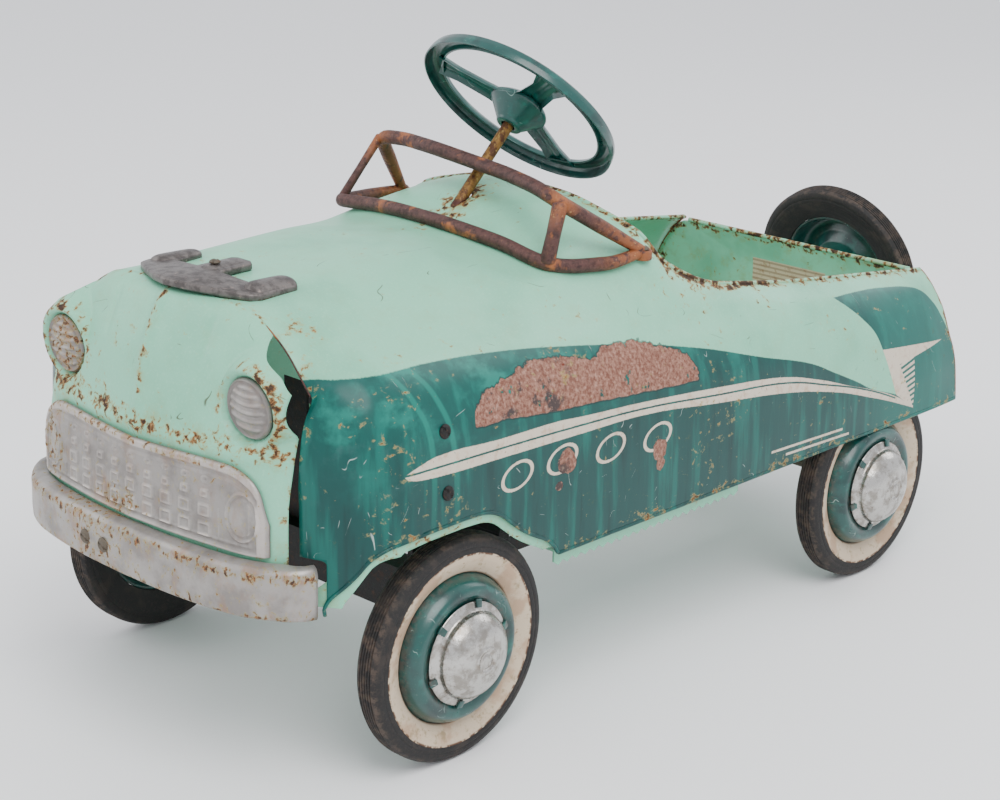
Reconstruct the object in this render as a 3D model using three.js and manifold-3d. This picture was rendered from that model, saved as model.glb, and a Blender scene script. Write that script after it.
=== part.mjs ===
// Pressed-steel pedal car with a continental spare wheel at the tail.
// Millimetres. +Z up, front of the car towards -Y, left side of the car towards +X.
// Every loose piece is one closed solid. Pieces that touch keep a small gap.

import * as THREE from 'three';
import { mergeVertices } from 'three/addons/utils/BufferGeometryUtils.js';
import Module from 'manifold-3d';

const wasm = await Module();
wasm.setup();

// ---------------------------------------------------------------- driving dimensions
const WHEEL_RADIUS = 101.6;        // 8 inch wheels
const TYRE_WIDTH = 27;
const RIM_RADIUS = 67;
const WHEELBASE = 605;
const FRONT_WHEEL_X = 198.5;         // centre plane of the front wheels
const REAR_WHEEL_X = 202.5;
const BODY_HALF_WIDTH = 222;
const BODY_BOTTOM = 163;
const SKIN = 3;                    // sheet thickness, thicker than the real 1 mm
const GAP = 0.4;                   // clearance between touching pieces
const AXLE_RADIUS = 5.5;
const KINGPIN_X = 152;
const STEER_ARM = 45;              // same length on the shaft crank and on the spindles
const CRANK_THROW = 38;
const PEDAL_X = 90;                // plane of the pedal arms
const ROD_X = 80;                  // plane of the drive rods
const PEDAL_PIVOT = new THREE.Vector2(-150, 300);
const PEDAL_ARM = 198;
const COLUMN_TILT = Math.PI / 4;
const WHEEL_HUB = new THREE.Vector3(0, -16, 506);
const COLUMN_LENGTH = 384;
const STEERING_RADIUS = 102;
const SPARE_TILT = THREE.MathUtils.degToRad(13);
const SPARE_CENTRE = new THREE.Vector3(0, 530.6, 248.6);
const FRAME_SHIFT = -31.1;         // puts the middle of the length on the origin

const FRONT_AXLE_Y = -WHEELBASE / 2;
const REAR_AXLE_Y = WHEELBASE / 2;
const PEDAL_SWING = Math.asin(CRANK_THROW / PEDAL_ARM);
const COLUMN_AXIS = new THREE.Vector3(0, Math.cos(COLUMN_TILT), Math.sin(COLUMN_TILT));
const ROUND = 24;                  // sides of the wheels

// ---------------------------------------------------------------- colours
const paint = (color, roughness = 0.5, metalness = 0.1) =>
  () => new THREE.MeshStandardMaterial({ color, roughness, metalness });
const mint = paint(0xa8dcc4);
const teal = paint(0x086862);
const silver = paint(0xa9a9a4, 0.45, 0.6);
const chrome = paint(0xc9c9c9, 0.2, 1.0);
const rubber = paint(0x1c1b1a, 0.85, 0);
const rusty = paint(0x6d4a3c, 0.8, 0.4);
const blackSteel = paint(0x24211f, 0.6, 0.5);
const bareSteel = paint(0x8a7350, 0.5, 0.8);

// ---------------------------------------------------------------- solid helpers
function solid(geometry) {
  const bare = geometry.clone();
  bare.deleteAttribute('normal');
  bare.deleteAttribute('uv');
  const merged = mergeVertices(bare, 1e-4);
  const vertProperties = new Float32Array(merged.attributes.position.array);
  const triVerts = new Uint32Array(merged.index.array);
  return new wasm.Manifold(new wasm.Mesh({ numProp: 3, vertProperties, triVerts }));
}

function shape(manifold) {
  const mesh = manifold.getMesh();
  const geometry = new THREE.BufferGeometry();
  geometry.setAttribute('position', new THREE.BufferAttribute(new Float32Array(mesh.vertProperties), 3));
  geometry.setIndex(Array.from(mesh.triVerts));
  geometry.computeVertexNormals();
  return geometry;
}

const join = (...pieces) => pieces.reduce((whole, piece) => whole.add(piece));
const cut = (whole, ...tools) => tools.reduce((left, tool) => left.subtract(tool), whole);

function box(x0, x1, y0, y1, z0, z1) {
  const geometry = new THREE.BoxGeometry(x1 - x0, y1 - y0, z1 - z0);
  return solid(geometry.translate((x0 + x1) / 2, (y0 + y1) / 2, (z0 + z1) / 2));
}

// Round bar between two points.
function bar(from, to, radius, sides = 10) {
  const start = new THREE.Vector3(...from);
  const span = new THREE.Vector3(...to).sub(start);
  const geometry = new THREE.CylinderGeometry(radius, radius, span.length(), sides);
  geometry.translate(0, span.length() / 2, 0);
  const turn = new THREE.Quaternion().setFromUnitVectors(new THREE.Vector3(0, 1, 0), span.normalize());
  return solid(geometry.applyQuaternion(turn).translate(start.x, start.y, start.z));
}

// Round bar bent at each inner point of its route, with mitred bends.
function bentBar(route, radius, sides = 10) {
  const points = route.map((point) => new THREE.Vector3(...point));
  const runs = points.slice(1).map((point, i) => point.clone().sub(points[i]).normalize());
  const first = new THREE.Quaternion().setFromUnitVectors(new THREE.Vector3(0, 0, 1), runs[0]);
  const start = Array.from({ length: sides }, (_, i) => {
    const angle = (i + 0.5) * 2 * Math.PI / sides;
    const spoke = new THREE.Vector3(Math.cos(angle) * radius, Math.sin(angle) * radius, 0);
    return spoke.applyQuaternion(first).add(points[0]);
  });
  const rings = [start];
  runs.forEach((run, i) => {
    const next = runs[i + 1] ?? run;
    const mitre = run.clone().add(next).normalize();
    rings.push(rings[i].map((point) => {
      const reach = points[i + 1].clone().sub(point).dot(mitre) / run.dot(mitre);
      return point.clone().addScaledVector(run, reach);
    }));
  });
  return loft(rings);
}

// Solid of revolution about Y from (radius, height) points that close on themselves or on the axis.
function turned(profile, sides = ROUND) {
  const geometry = new THREE.LatheGeometry(profile.map(([r, h]) => new THREE.Vector2(r, h)), sides);
  const body = solid(geometry);
  return body.volume() > 0 ? body : solid(flipped(geometry));
}

function flipped(geometry) {
  const copy = geometry.clone();
  const index = copy.index.array;
  for (let i = 0; i < index.length; i += 3) {
    const first = index[i];
    index[i] = index[i + 1];
    index[i + 1] = first;
  }
  return copy;
}

// Moves a manifold: turns it so that its Y axis points along a direction, then shifts it.
function aim(manifold, direction, position) {
  const turn = new THREE.Quaternion().setFromUnitVectors(
    new THREE.Vector3(0, 1, 0), new THREE.Vector3(...direction).normalize());
  return solid(shape(manifold).applyQuaternion(turn).translate(...position));
}

// Flat outline pushed along the axis that its two coordinates leave out.
function prism(plane, outline, from, to) {
  const flat = new THREE.Shape(outline.map(([a, b]) => new THREE.Vector2(a, b)));
  const geometry = new THREE.ExtrudeGeometry(flat, { depth: to - from, bevelEnabled: false, steps: 1 });
  geometry.translate(0, 0, from);
  const axes = {
    xy: [new THREE.Vector3(1, 0, 0), new THREE.Vector3(0, 1, 0), new THREE.Vector3(0, 0, 1)],
    yz: [new THREE.Vector3(0, 1, 0), new THREE.Vector3(0, 0, 1), new THREE.Vector3(1, 0, 0)],
    xz: [new THREE.Vector3(1, 0, 0), new THREE.Vector3(0, 0, 1), new THREE.Vector3(0, 1, 0)],
  };
  geometry.applyMatrix4(new THREE.Matrix4().makeBasis(...axes[plane]));
  return solid(plane === 'xz' ? flipped(indexed(geometry)) : geometry);
}

function indexed(geometry) {
  const copy = geometry.clone();
  copy.deleteAttribute('normal');
  copy.deleteAttribute('uv');
  return mergeVertices(copy, 1e-4);
}

// Skin through a row of closed outlines that have equally many points, with flat ends.
function loft(rings) {
  const count = rings[0].length;
  const positions = rings.flat().flatMap((point) => [point.x, point.y, point.z]);
  const index = [];
  for (let r = 0; r + 1 < rings.length; r += 1) {
    for (let i = 0; i < count; i += 1) {
      const a = r * count + i;
      const b = r * count + (i + 1) % count;
      index.push(a, b, b + count, a, b + count, a + count);
    }
  }
  const last = (rings.length - 1) * count;
  for (const [i, j, k] of flatEnd(rings[0])) index.push(i, k, j);
  for (const [i, j, k] of flatEnd(rings[rings.length - 1])) index.push(last + i, last + j, last + k);
  const geometry = new THREE.BufferGeometry();
  geometry.setAttribute('position', new THREE.Float32BufferAttribute(positions, 3));
  geometry.setIndex(index);
  const body = solid(geometry);
  return body.volume() > 0 ? body : solid(flipped(geometry));
}

// Triangles of a flat outline, turning the same way as the outline itself.
function flatEnd(ring) {
  const normal = new THREE.Vector3();
  ring.forEach((point, i) => {
    const next = ring[(i + 1) % ring.length];
    normal.add(point.clone().cross(next));
  });
  normal.normalize();
  const side = Math.abs(normal.x) > 0.5 ? new THREE.Vector3(0, 1, 0) : new THREE.Vector3(1, 0, 0);
  side.addScaledVector(normal, -side.dot(normal)).normalize();
  const up = normal.clone().cross(side);
  const outline = ring.map((point) => new THREE.Vector2(point.dot(side), point.dot(up)));
  return THREE.ShapeUtils.triangulateShape(outline, []);
}

// Smooth value at a place along a table of [place, value] pairs.
function along(table, place) {
  const last = table.length - 2;
  const i = Math.min(last, Math.max(0, table.findIndex((row) => row[0] > place) - 1));
  const slot = place >= table[table.length - 1][0] ? last : i;
  const slope = (k) => {
    const a = table[Math.max(0, k - 1)];
    const b = table[Math.min(table.length - 1, k + 1)];
    return (b[1] - a[1]) / (b[0] - a[0]);
  };
  const [x0, v0] = table[slot];
  const [x1, v1] = table[slot + 1];
  const h = x1 - x0;
  const t = (place - x0) / h;
  const ease = [2 * t ** 3 - 3 * t ** 2 + 1, t ** 3 - 2 * t ** 2 + t, -2 * t ** 3 + 3 * t ** 2, t ** 3 - t ** 2];
  return ease[0] * v0 + ease[1] * h * slope(slot) + ease[2] * v1 + ease[3] * h * slope(slot + 1);
}

const car = new THREE.Group();
car.position.y = FRAME_SHIFT;

function add(name, manifold, material) {
  const mesh = new THREE.Mesh(shape(manifold), material());
  mesh.name = name;
  car.add(mesh);
}

const mirrored = (manifold) => solid(flipped(shape(manifold).scale(-1, 1, 1)));
const sides = [['left', 1], ['right', -1]];

// Adds a left piece and its mirror image.
function addPair(name, manifold, material) {
  add(`${name}_left`, manifold, material);
  add(`${name}_right`, mirrored(manifold), material);
}

// ---------------------------------------------------------------- body skin
// Half cross-sections from the crown down to the lower edge, one row for each place along Y:
// crown, bonnet, bonnet edge, fold, ledge, shoulder, upper side, side, lower side, bottom edge.
const BODY_SECTIONS = [
  [-441, [0, 398], [60, 394], [92, 388], [128, 350], [150, 300], [155, 292], [158, 282], [161, 262], [162, 205], [162, 163]],
  [-437, [0, 400], [60, 397], [92, 391], [128, 362], [155, 322], [162, 310], [169, 296], [173, 270], [175, 205], [175, 163]],
  [-428, [0, 402], [60, 400], [92, 396], [128, 374], [158, 338], [166, 335], [180, 316], [187, 285], [190, 205], [190, 163]],
  [-418, [0, 403], [60, 401], [94, 396], [129, 376], [158, 356], [174, 348], [190, 328], [200, 292], [203, 205], [203, 163]],
  [-407, [0, 404], [60, 402], [97, 395], [130, 377], [159, 364], [180, 353], [198, 334], [209, 296], [212, 205], [212, 163]],
  [-395, [0, 405], [60, 403], [100, 394], [132, 378], [160, 367], [185, 356], [203, 336], [214, 298], [218, 205], [218, 163]],
  [-369, [0, 406], [60, 404], [104, 393], [134, 380], [162, 369], [188, 357], [206, 337], [218, 298], [222, 205], [222, 163]],
  [-225, [0, 410], [60, 407], [112, 396], [148, 376], [168, 363], [191, 348], [207, 327], [218, 290], [222, 205], [222, 163]],
  [-140, [0, 408], [60, 404], [136, 389], [160, 370], [175, 357], [192, 342], [207, 320], [218, 284], [222, 205], [222, 163]],
  [-100, [0, 425], [60, 420], [124, 401], [147, 383], [172, 360], [192, 339], [207, 317], [218, 281], [222, 205], [222, 163]],
  [-70, [0, 433], [60, 428], [120, 406], [147, 385], [174, 360], [193, 336], [207, 314], [218, 279], [222, 205], [222, 163]],
  [-35, [0, 435], [60, 430], [122, 408], [150, 388], [176, 357], [193, 333], [207, 311], [218, 277], [222, 205], [222, 163]],
  [-8, [0, 430], [60, 427], [126, 411], [152, 395], [178, 354], [192, 331], [207, 309], [218, 275], [222, 205], [222, 163]],
  [10, [0, 430], [60, 428], [124, 412], [156, 380], [180, 349], [192, 328], [207, 306], [218, 273], [222, 205], [222, 163]],
  [44, [0, 395], [60, 392], [135, 378], [165, 359], [181, 341], [191, 326], [206, 304], [218, 271], [222, 205], [222, 163]],
  [80, [0, 355], [60, 355], [140, 352], [166, 347], [181, 336], [191, 323], [206, 301], [218, 268], [222, 205], [222, 163]],
  [190, [0, 332], [60, 332], [140, 331], [165, 328], [181, 320], [191, 312], [206, 290], [217, 260], [222, 205], [222, 163]],
  [310, [0, 316], [60, 316], [140, 315], [165, 313], [180, 306], [190, 299], [205, 279], [216, 252], [222, 205], [222, 163]],
  [400, [0, 305], [60, 305], [140, 304], [164, 302], [178, 295], [188, 287], [200, 268], [211, 242], [220, 205], [222, 163]],
  [448, [0, 298], [60, 298], [140, 298], [162, 296], [174, 287], [184, 275], [194, 260], [204, 236], [215, 205], [220, 163]],
];
const SECTION_POINTS = 10;

function halfSection(y) {
  return Array.from({ length: SECTION_POINTS }, (_, i) => new THREE.Vector2(
    along(BODY_SECTIONS.map((row) => [row[0], row[i + 1][0]]), y),
    along(BODY_SECTIONS.map((row) => [row[0], row[i + 1][1]]), y)));
}

// Moves each point of a half-section inwards, square to the skin.
function inset(half, depth) {
  return half.map((point, i) => {
    const before = half[Math.max(0, i - 1)];
    const after = half[Math.min(half.length - 1, i + 1)];
    const run = after.clone().sub(before).normalize();
    if (i === 0) return new THREE.Vector2(0, point.y - depth);
    return new THREE.Vector2(point.x + run.y * depth, point.y - run.x * depth);
  });
}

function ringAt(half, y) {
  const right = half.map((point) => new THREE.Vector3(point.x, y, point.y));
  const left = half.slice(1).reverse().map((point) => new THREE.Vector3(-point.x, y, point.y));
  return [...right, ...left];
}

const BODY_STEPS = [-441, -439, -437, -432, -428, -423, -418, -407, -395, -382, -369, -297, -225, -180, -140, -120,
  -100, -70, -35, -20, -8, 10, 27, 44, 62, 80, 135, 190, 250, 310, 360, 400, 426, 448];
const BODY_FRONT = BODY_STEPS[0];
const BODY_REAR = 448;
const NOSE_SEAM = -425;
const NOSE_HALF_WIDTH = 158;
const BODY_ROUNDED = -390;         // the fenders curve in ahead of here

function bodyShell() {
  const outer = loft(BODY_STEPS.map((y) => ringAt(halfSection(y), y)));
  const innerSteps = [BODY_FRONT + SKIN, ...BODY_STEPS.slice(2)];
  const innerRings = innerSteps.map((y) => {
    const half = inset(halfSection(y), SKIN);
    half[SECTION_POINTS - 1].y = BODY_BOTTOM - 20;
    const back = y < BODY_ROUNDED ? SKIN : 0;
    const place = y === BODY_REAR ? BODY_REAR + 5 : y + back;
    return ringAt(half, place);
  });
  const noseRoom = box(-NOSE_HALF_WIDTH - 2.5, NOSE_HALF_WIDTH + 2.5, BODY_FRONT - 5, NOSE_SEAM, 100, 450);
  const bumperRoom = box(-189.5, 189.5, BODY_FRONT - 5, -432, 100, 212);
  const arch = [[-438, 140], [-438, 186], [-424, 206], [-398, 221], [-358, 230], [-306, 234], [-284, 228],
    [-266, 209], [-245, 188], [-205, 168], [-197, 140]];
  const columnHole = bar(columnPoint(80).toArray(), columnPoint(170).toArray(), 9, 16);
  const tools = [noseRoom, bumperRoom, prism('yz', arch, -260, 260), cockpit(), columnHole];
  for (const [, side] of sides) {
    for (const z of SIDE_BOLT_Z) tools.push(bar([side * 200, SIDE_BOLT_Y, z], [side * 240, SIDE_BOLT_Y, z], 3.6));
  }
  return cut(outer, loft(innerRings), ...tools);
}

// Opening above the seat, from the cowl to the tail.
function cockpit() {
  const half = [[60, -9], [120, -8], [143, -5], [152, 2], [157, 12], [164.5, 44], [165.5, 80], [164.5, 190], [164, 310],
    [161, 460]];
  const outline = [[0, -9], ...half, ...half.slice().reverse().map(([x, y]) => [-x, y])];
  return prism('xy', outline, 240, 500);
}

function columnPoint(distance) {
  return WHEEL_HUB.clone().addScaledVector(COLUMN_AXIS, -distance);
}

const SIDE_BOLT_Y = -333;
const SIDE_BOLT_Z = [307, 255];

add('body_shell', bodyShell(), mint);

// ---------------------------------------------------------------- nose, grille, bumper, lamps
// Front profiles from the bonnet seam down to the lower edge, one row for each distance from the middle.
const NOSE_PROFILES = [
  [0, [-425, 403], [-444, 400], [-458, 378], [-468, 354], [-474, 325], [-479, 290], [-482, 250], [-482, 165]],
  [50, [-425, 401.5], [-440, 396], [-452, 375], [-462, 352], [-469, 325], [-475, 290], [-479, 250], [-479, 165]],
  [92, [-425, 397], [-438, 388], [-447, 370], [-456, 348], [-462, 322], [-469, 290], [-474, 250], [-474, 165]],
  [128, [-425, 375], [-436, 369], [-443, 358], [-450, 342], [-456, 318], [-463, 288], [-468, 250], [-468, 165]],
  [148, [-425, 363], [-432, 358], [-438, 350], [-443, 335], [-448, 315], [-455, 285], [-460, 250], [-460, 165]],
  [NOSE_HALF_WIDTH, [-425, 350], [-427, 345], [-430, 337], [-433, 326], [-438, 310], [-444, 283], [-449, 250], [-449, 165]],
];
const NOSE_POINTS = 8;
const NOSE_STEPS = [0, 25, 50, 72, 92, 110, 128, 140, 148, 154, NOSE_HALF_WIDTH];

function noseProfile(x) {
  const place = Math.abs(x);
  return Array.from({ length: NOSE_POINTS }, (_, i) => new THREE.Vector2(
    along(NOSE_PROFILES.map((row) => [row[0], row[i + 1][0]]), place),
    along(NOSE_PROFILES.map((row) => [row[0], row[i + 1][1]]), place)));
}

// Place of the nose skin at a height.
function noseFront(x, z) {
  const profile = noseProfile(x);
  const i = Math.max(0, profile.findIndex((point) => point.y <= z) - 1);
  const [a, b] = [profile[i], profile[i + 1]];
  return a.x + (b.x - a.x) * (a.y - z) / (a.y - b.y);
}

const bothSides = (steps) => [...steps.slice(1).reverse().map((x) => -x), ...steps];

const LAMP = new THREE.Vector3(121.5, -456, 331);
const LAMP_AIM = [0.023, -1, -0.084];
const LAMP_RADIUS = 26.4;

function nosePanel() {
  const seam = NOSE_SEAM - GAP;
  const outer = loft(bothSides(NOSE_STEPS).map((x) => {
    const face = noseProfile(x).map((point) => new THREE.Vector3(x, Math.min(point.x, seam), point.y));
    return [...face, new THREE.Vector3(x, seam, BODY_BOTTOM + 2)];
  }));
  const inner = loft(bothSides(NOSE_STEPS).map((x) => {
    const reach = Math.sign(x) * Math.min(Math.abs(x), NOSE_HALF_WIDTH - SKIN);
    const face = noseProfile(x).map((point, i) => new THREE.Vector3(reach, point.x + SKIN, i === 7 ? 150 : point.y - SKIN));
    return [...face, new THREE.Vector3(reach, -400, 150), new THREE.Vector3(reach, -400, face[0].z)];
  }));
  const lampSeat = aim(turned([[0, -22], [36, -22], [34, -8], [31, -1], [27, 0], [0, 0]], 20), LAMP_AIM, LAMP.toArray());
  const ahead = LAMP.clone().addScaledVector(new THREE.Vector3(...LAMP_AIM).normalize(), 40);
  const lampRoom = bar(LAMP.toArray(), ahead.toArray(), LAMP_RADIUS + 1.5, 24);
  const hollow = cut(outer, inner, lampRoom, mirrored(lampRoom));
  const seats = join(lampSeat, mirrored(lampSeat));
  const backs = seats.intersect(box(-170, 170, -500, -447, 250, 400));
  return join(hollow, backs);
}

function grillePanel() {
  const top = [[0, 283], [108, 284], [128, 279], [142, 266], [150, 240]];
  const steps = [0, 30, 60, 90, 108, 120, 128, 136, 142, 150];
  return loft(bothSides(steps).map((x) => {
    const z1 = along(top, Math.abs(x));
    const heights = [z1, (z1 + 216) / 2, 216];
    const back = heights.map((z) => new THREE.Vector3(x, noseFront(x, z) - 1.4, z));
    const front = heights.map((z, i) => new THREE.Vector3(x, noseFront(x, z) - 6, i === 0 ? z - 3 : z));
    return [...back, ...front.reverse()];
  }));
}

const BUMPER_PLAN = [[0, -500], [60, -498], [120, -490], [152, -479], [172, -465], [182, -452], [185, -442]];

function frontBumper() {
  const steps = bothSides([0, 30, 60, 90, 120, 138, 152, 163, 172, 178, 182, 185]);
  const profile = [[0, 168], [0, 203], [4, 208], [13, 208], [13, 205], [5, 205], [3, 202], [3, 169], [5, 166], [8, 166],
    [8, 163], [3, 163]];
  const body = loft(steps.map((x) => {
    const place = Math.abs(x);
    const y = along(BUMPER_PLAN, place);
    const slope = (along(BUMPER_PLAN, Math.min(185, place + 1)) - along(BUMPER_PLAN, Math.max(0, place - 1))) / 2;
    const inward = new THREE.Vector2(-slope, 1).normalize();
    return profile.map(([depth, z]) => new THREE.Vector3(
      Math.sign(x) * (place + inward.x * depth), y + inward.y * depth, z));
  }));
  return cut(body, ...BUMPER_BOLT_X.map((x) => bar([x, -520, BUMPER_BOLT_Z], [x, -480, BUMPER_BOLT_Z], 4.2)));
}

const BUMPER_BOLT_X = [-48, -22];
const BUMPER_BOLT_Z = 184;

add('nose_panel', nosePanel(), mint);
add('grille_panel', grillePanel(), silver);
add('front_bumper', frontBumper(), silver);

const lampFace = [[0, GAP], [LAMP_RADIUS - 2, GAP], [LAMP_RADIUS, 2], [LAMP_RADIUS - 1, 5], [20, 8], [0, 9.5]];
addPair('headlight', aim(turned(lampFace, 24), LAMP_AIM, LAMP.toArray()), silver);

const ORNAMENT_SLOPE = THREE.MathUtils.degToRad(1);
const ORNAMENT_Y = -400;
const ORNAMENT_BOTTOM = 406.6;
const ORNAMENT_SCREW_Y = -391;

// Shallow chevron with two side prongs and a middle one pointing back.
function hoodOrnament() {
  const half = [[20, -441], [50, -427], [72, -414], [76, -404], [74, -364], [66, -359], [52, -362], [48, -394],
    [14, -398], [14, -362], [8, -358]];
  const outline = [[0, -446], ...half, ...half.slice().reverse().map(([x, y]) => [-x, y])];
  const wings = prism('xy', outline, 0, 6);
  const crest = [[-408, 5], [-364, 5], [-366, 8], [-386, 9]];
  const prongs = [prism('yz', crest, 54, 68), prism('yz', crest, -68, -54)];
  const hole = bar([0, ORNAMENT_SCREW_Y, -5], [0, ORNAMENT_SCREW_Y, 20], 3.6);
  const level = shape(cut(join(wings, ...prongs), hole));
  const turnedUp = level.translate(0, -ORNAMENT_Y, 0).rotateX(ORNAMENT_SLOPE);
  return solid(turnedUp.translate(0, ORNAMENT_Y, ORNAMENT_BOTTOM));
}

add('hood_ornament', hoodOrnament(), silver);

// Dome-headed screw: head on top of Y = 0, shank below it.
function screw(headRadius, headHeight, shankRadius, shankLength) {
  return turned([[0, -shankLength], [shankRadius, -shankLength], [shankRadius, 0], [headRadius, 0],
    [headRadius, headHeight * 0.4], [headRadius * 0.6, headHeight * 0.9], [0, headHeight]], 8);
}

add('ornament_screw', aim(screw(5, 3, 3, 6), [0, -Math.sin(ORNAMENT_SLOPE), Math.cos(ORNAMENT_SLOPE)],
  [0, ORNAMENT_SCREW_Y, ORNAMENT_BOTTOM + 6.7]), bareSteel);

for (const [name, side] of sides) {
  SIDE_BOLT_Z.forEach((z, i) => {
    const level = ['upper', 'lower'][i];
    const skinX = along([[205, 222], [255, 220.3], [307, 215.6]], z);
    add(`side_bolt_${level}_${name}`, aim(screw(6.5, 4, 3, 11), [side, 0, 0],
      [side * (skinX + 1.5), SIDE_BOLT_Y, z]), blackSteel);
  });
}
BUMPER_BOLT_X.forEach((x, i) => {
  const face = along(BUMPER_PLAN, Math.abs(x));
  add(`bumper_bolt_${['inner', 'outer'][1 - i]}`, aim(screw(7, 5, 3.6, 9), [0, -1, 0],
    [x, face - 0.6, BUMPER_BOLT_Z]), bareSteel);
});

// ---------------------------------------------------------------- windscreen frame
const SCREEN_LOW = [141, -126, 399];
const SCREEN_HIGH = [135, -95, 453];
const SCREEN_END = [163, -21, 401];
const SCREEN_BOLT = [164, -12, 407];

function windscreen() {
  const lower = [SCREEN_END, SCREEN_LOW, [100, -135, 409], [50, -141, 417]];
  const upper = [SCREEN_END, SCREEN_HIGH, [100, -91, 457], [50, -87, 460]];
  const across = (half) => [...half, ...half.slice().reverse().map(([x, y, z]) => [-x, y, z])];
  const strut = bar(SCREEN_LOW, SCREEN_HIGH, 5.5, 8);
  const [x, y, z] = SCREEN_BOLT;
  const eye = bar([x, y, z - 12], [x, y, z - 0.5], 8, 12);
  const drill = bar([x, y, z - 30], [x, y, z + 20], 3.6, 8);
  const frame = join(bentBar(across(lower), 6.3), bentBar(across(upper), 6.3), strut, mirrored(strut), eye, mirrored(eye));
  return cut(frame, drill, mirrored(drill));
}

add('windscreen_frame', windscreen(), rusty);
addPair('windscreen_bolt', aim(screw(5.5, 4, 3, 11), [0, 0, 1], SCREEN_BOLT), bareSteel);

// ---------------------------------------------------------------- steering
function steeringWheel() {
  const channel = [[84, -5], [88, 2], [95, 3.5], [STEERING_RADIUS - 1, 1], [STEERING_RADIUS, -10],
    [STEERING_RADIUS - 3, -10], [STEERING_RADIUS - 4, -1], [94, 0.5], [89, -1], [87, -5], [84, -5]];
  const rim = turned(channel, 30);
  const hub = turned([[7.2, -26], [13, -26], [24, -12], [27, -4], [22, 1], [7.2, 3], [7.2, -26]], 15);
  const spokes = [90, 215, 325].map((degrees) => {
    const turn = THREE.MathUtils.degToRad(degrees);
    const blade = prism('xy', [[20, -15], [86, -11], [86, 11], [20, 15]], -3, -0.2);
    const flat = shape(blade).rotateZ(turn).rotateX(-Math.PI / 2);
    return solid(flat.translate(0, -0.5, 0));
  });
  return join(rim, hub, ...spokes);
}

function steeringShaft() {
  const foot = columnPoint(COLUMN_LENGTH);
  const droop = new THREE.Vector3(0, Math.sin(COLUMN_TILT), -Math.cos(COLUMN_TILT));
  const tip = foot.clone().addScaledVector(droop, STEER_ARM);
  const ball = (centre, radius) => solid(new THREE.IcosahedronGeometry(radius, 1).translate(...centre.toArray()));
  const column = bar(columnPoint(-5).toArray(), foot.toArray(), AXLE_RADIUS);
  return join(column, ball(foot, AXLE_RADIUS), bar(foot.toArray(), tip.toArray(), 4), ball(tip, 5));
}

// Wheel pieces are turned about +Y, so the column axis is their aim.
add('steering_wheel', aim(steeringWheel(), COLUMN_AXIS.toArray(), WHEEL_HUB.toArray()), teal);
add('steering_shaft', steeringShaft(), bareSteel);
add('steering_wheel_nut', aim(turned([[0, 5.4], [9, 5.4], [9, 9], [5, 12], [0, 12.5]], 12),
  COLUMN_AXIS.toArray(), WHEEL_HUB.toArray()), bareSteel);

const BEAM_TOP = 162;

// Upright strap on the axle beam, bent square to the shaft at the top.
function steeringBracket() {
  const bearing = columnPoint(352);
  const reach = 20;
  const c = Math.SQRT1_2;
  const high = [FRONT_AXLE_Y, bearing.z + (bearing.y - FRONT_AXLE_Y)];
  const low = [bearing.y + reach * c, bearing.z - reach * c];
  const t = 3;
  const outline = [[FRONT_AXLE_Y, BEAM_TOP + GAP], [FRONT_AXLE_Y + t, BEAM_TOP + GAP], [FRONT_AXLE_Y + t, high[1] - t * 2.4],
    [low[0] - t * c, low[1] - t * c], [low[0], low[1]], high];
  const foot = box(-15, 15, FRONT_AXLE_Y, FRONT_AXLE_Y + 12, BEAM_TOP + GAP, BEAM_TOP + GAP + t);
  const hole = bar(columnPoint(330).toArray(), columnPoint(372).toArray(), AXLE_RADIUS + 0.6, 12);
  return cut(join(prism('yz', outline, -15, 15), foot), hole);
}

add('steering_bracket', steeringBracket(), blackSteel);

// ---------------------------------------------------------------- front axle
const TIE_ROD_Z = 199.5;
const SPINDLE_ARM_Z = TIE_ROD_Z - 6.5;
const TIE_ROD_Y = FRONT_AXLE_Y + STEER_ARM;

function frontBeam() {
  const channel = [[-14, 0], [14, 0], [14, 4], [-10, 4], [-10, 38], [14, 38], [14, 42], [-14, 42]];
  const outline = channel.map(([y, z]) => [FRONT_AXLE_Y + y, BEAM_TOP - 42 + z]);
  const beam = prism('yz', outline, -KINGPIN_X - 11, KINGPIN_X + 11);
  const bores = [1, -1].map((side) => bar([side * KINGPIN_X, FRONT_AXLE_Y, 90], [side * KINGPIN_X, FRONT_AXLE_Y, 190],
    AXLE_RADIUS + 0.5, 12));
  return cut(beam, ...bores);
}

function spindle() {
  const rod = bentBar([
    [FRONT_WHEEL_X + 15, FRONT_AXLE_Y, WHEEL_RADIUS],
    [KINGPIN_X, FRONT_AXLE_Y, WHEEL_RADIUS],
    [KINGPIN_X, FRONT_AXLE_Y, SPINDLE_ARM_Z],
    [KINGPIN_X, TIE_ROD_Y, SPINDLE_ARM_Z],
  ], AXLE_RADIUS);
  const pin = bar([KINGPIN_X, TIE_ROD_Y, SPINDLE_ARM_Z - 2], [KINGPIN_X, TIE_ROD_Y, TIE_ROD_Z + 9], 3.5);
  return join(rod, pin);
}

function tieRod() {
  const [z0, z1] = [TIE_ROD_Z, TIE_ROD_Z + 3];
  const strap = box(-KINGPIN_X - 9, KINGPIN_X + 9, TIE_ROD_Y - 8, TIE_ROD_Y + 8, z0, z1);
  const pad = box(-16, 16, TIE_ROD_Y - 13, TIE_ROD_Y + 16, z0, z1);
  const notch = box(-5.9, 5.9, TIE_ROD_Y - 30, TIE_ROD_Y + 9, z0 - 5, z1 + 5);
  const holes = [1, -1].map((side) => bar([side * KINGPIN_X, TIE_ROD_Y, z0 - 5], [side * KINGPIN_X, TIE_ROD_Y, z1 + 5],
    4.1, 12));
  return cut(join(strap, pad), notch, ...holes);
}

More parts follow.
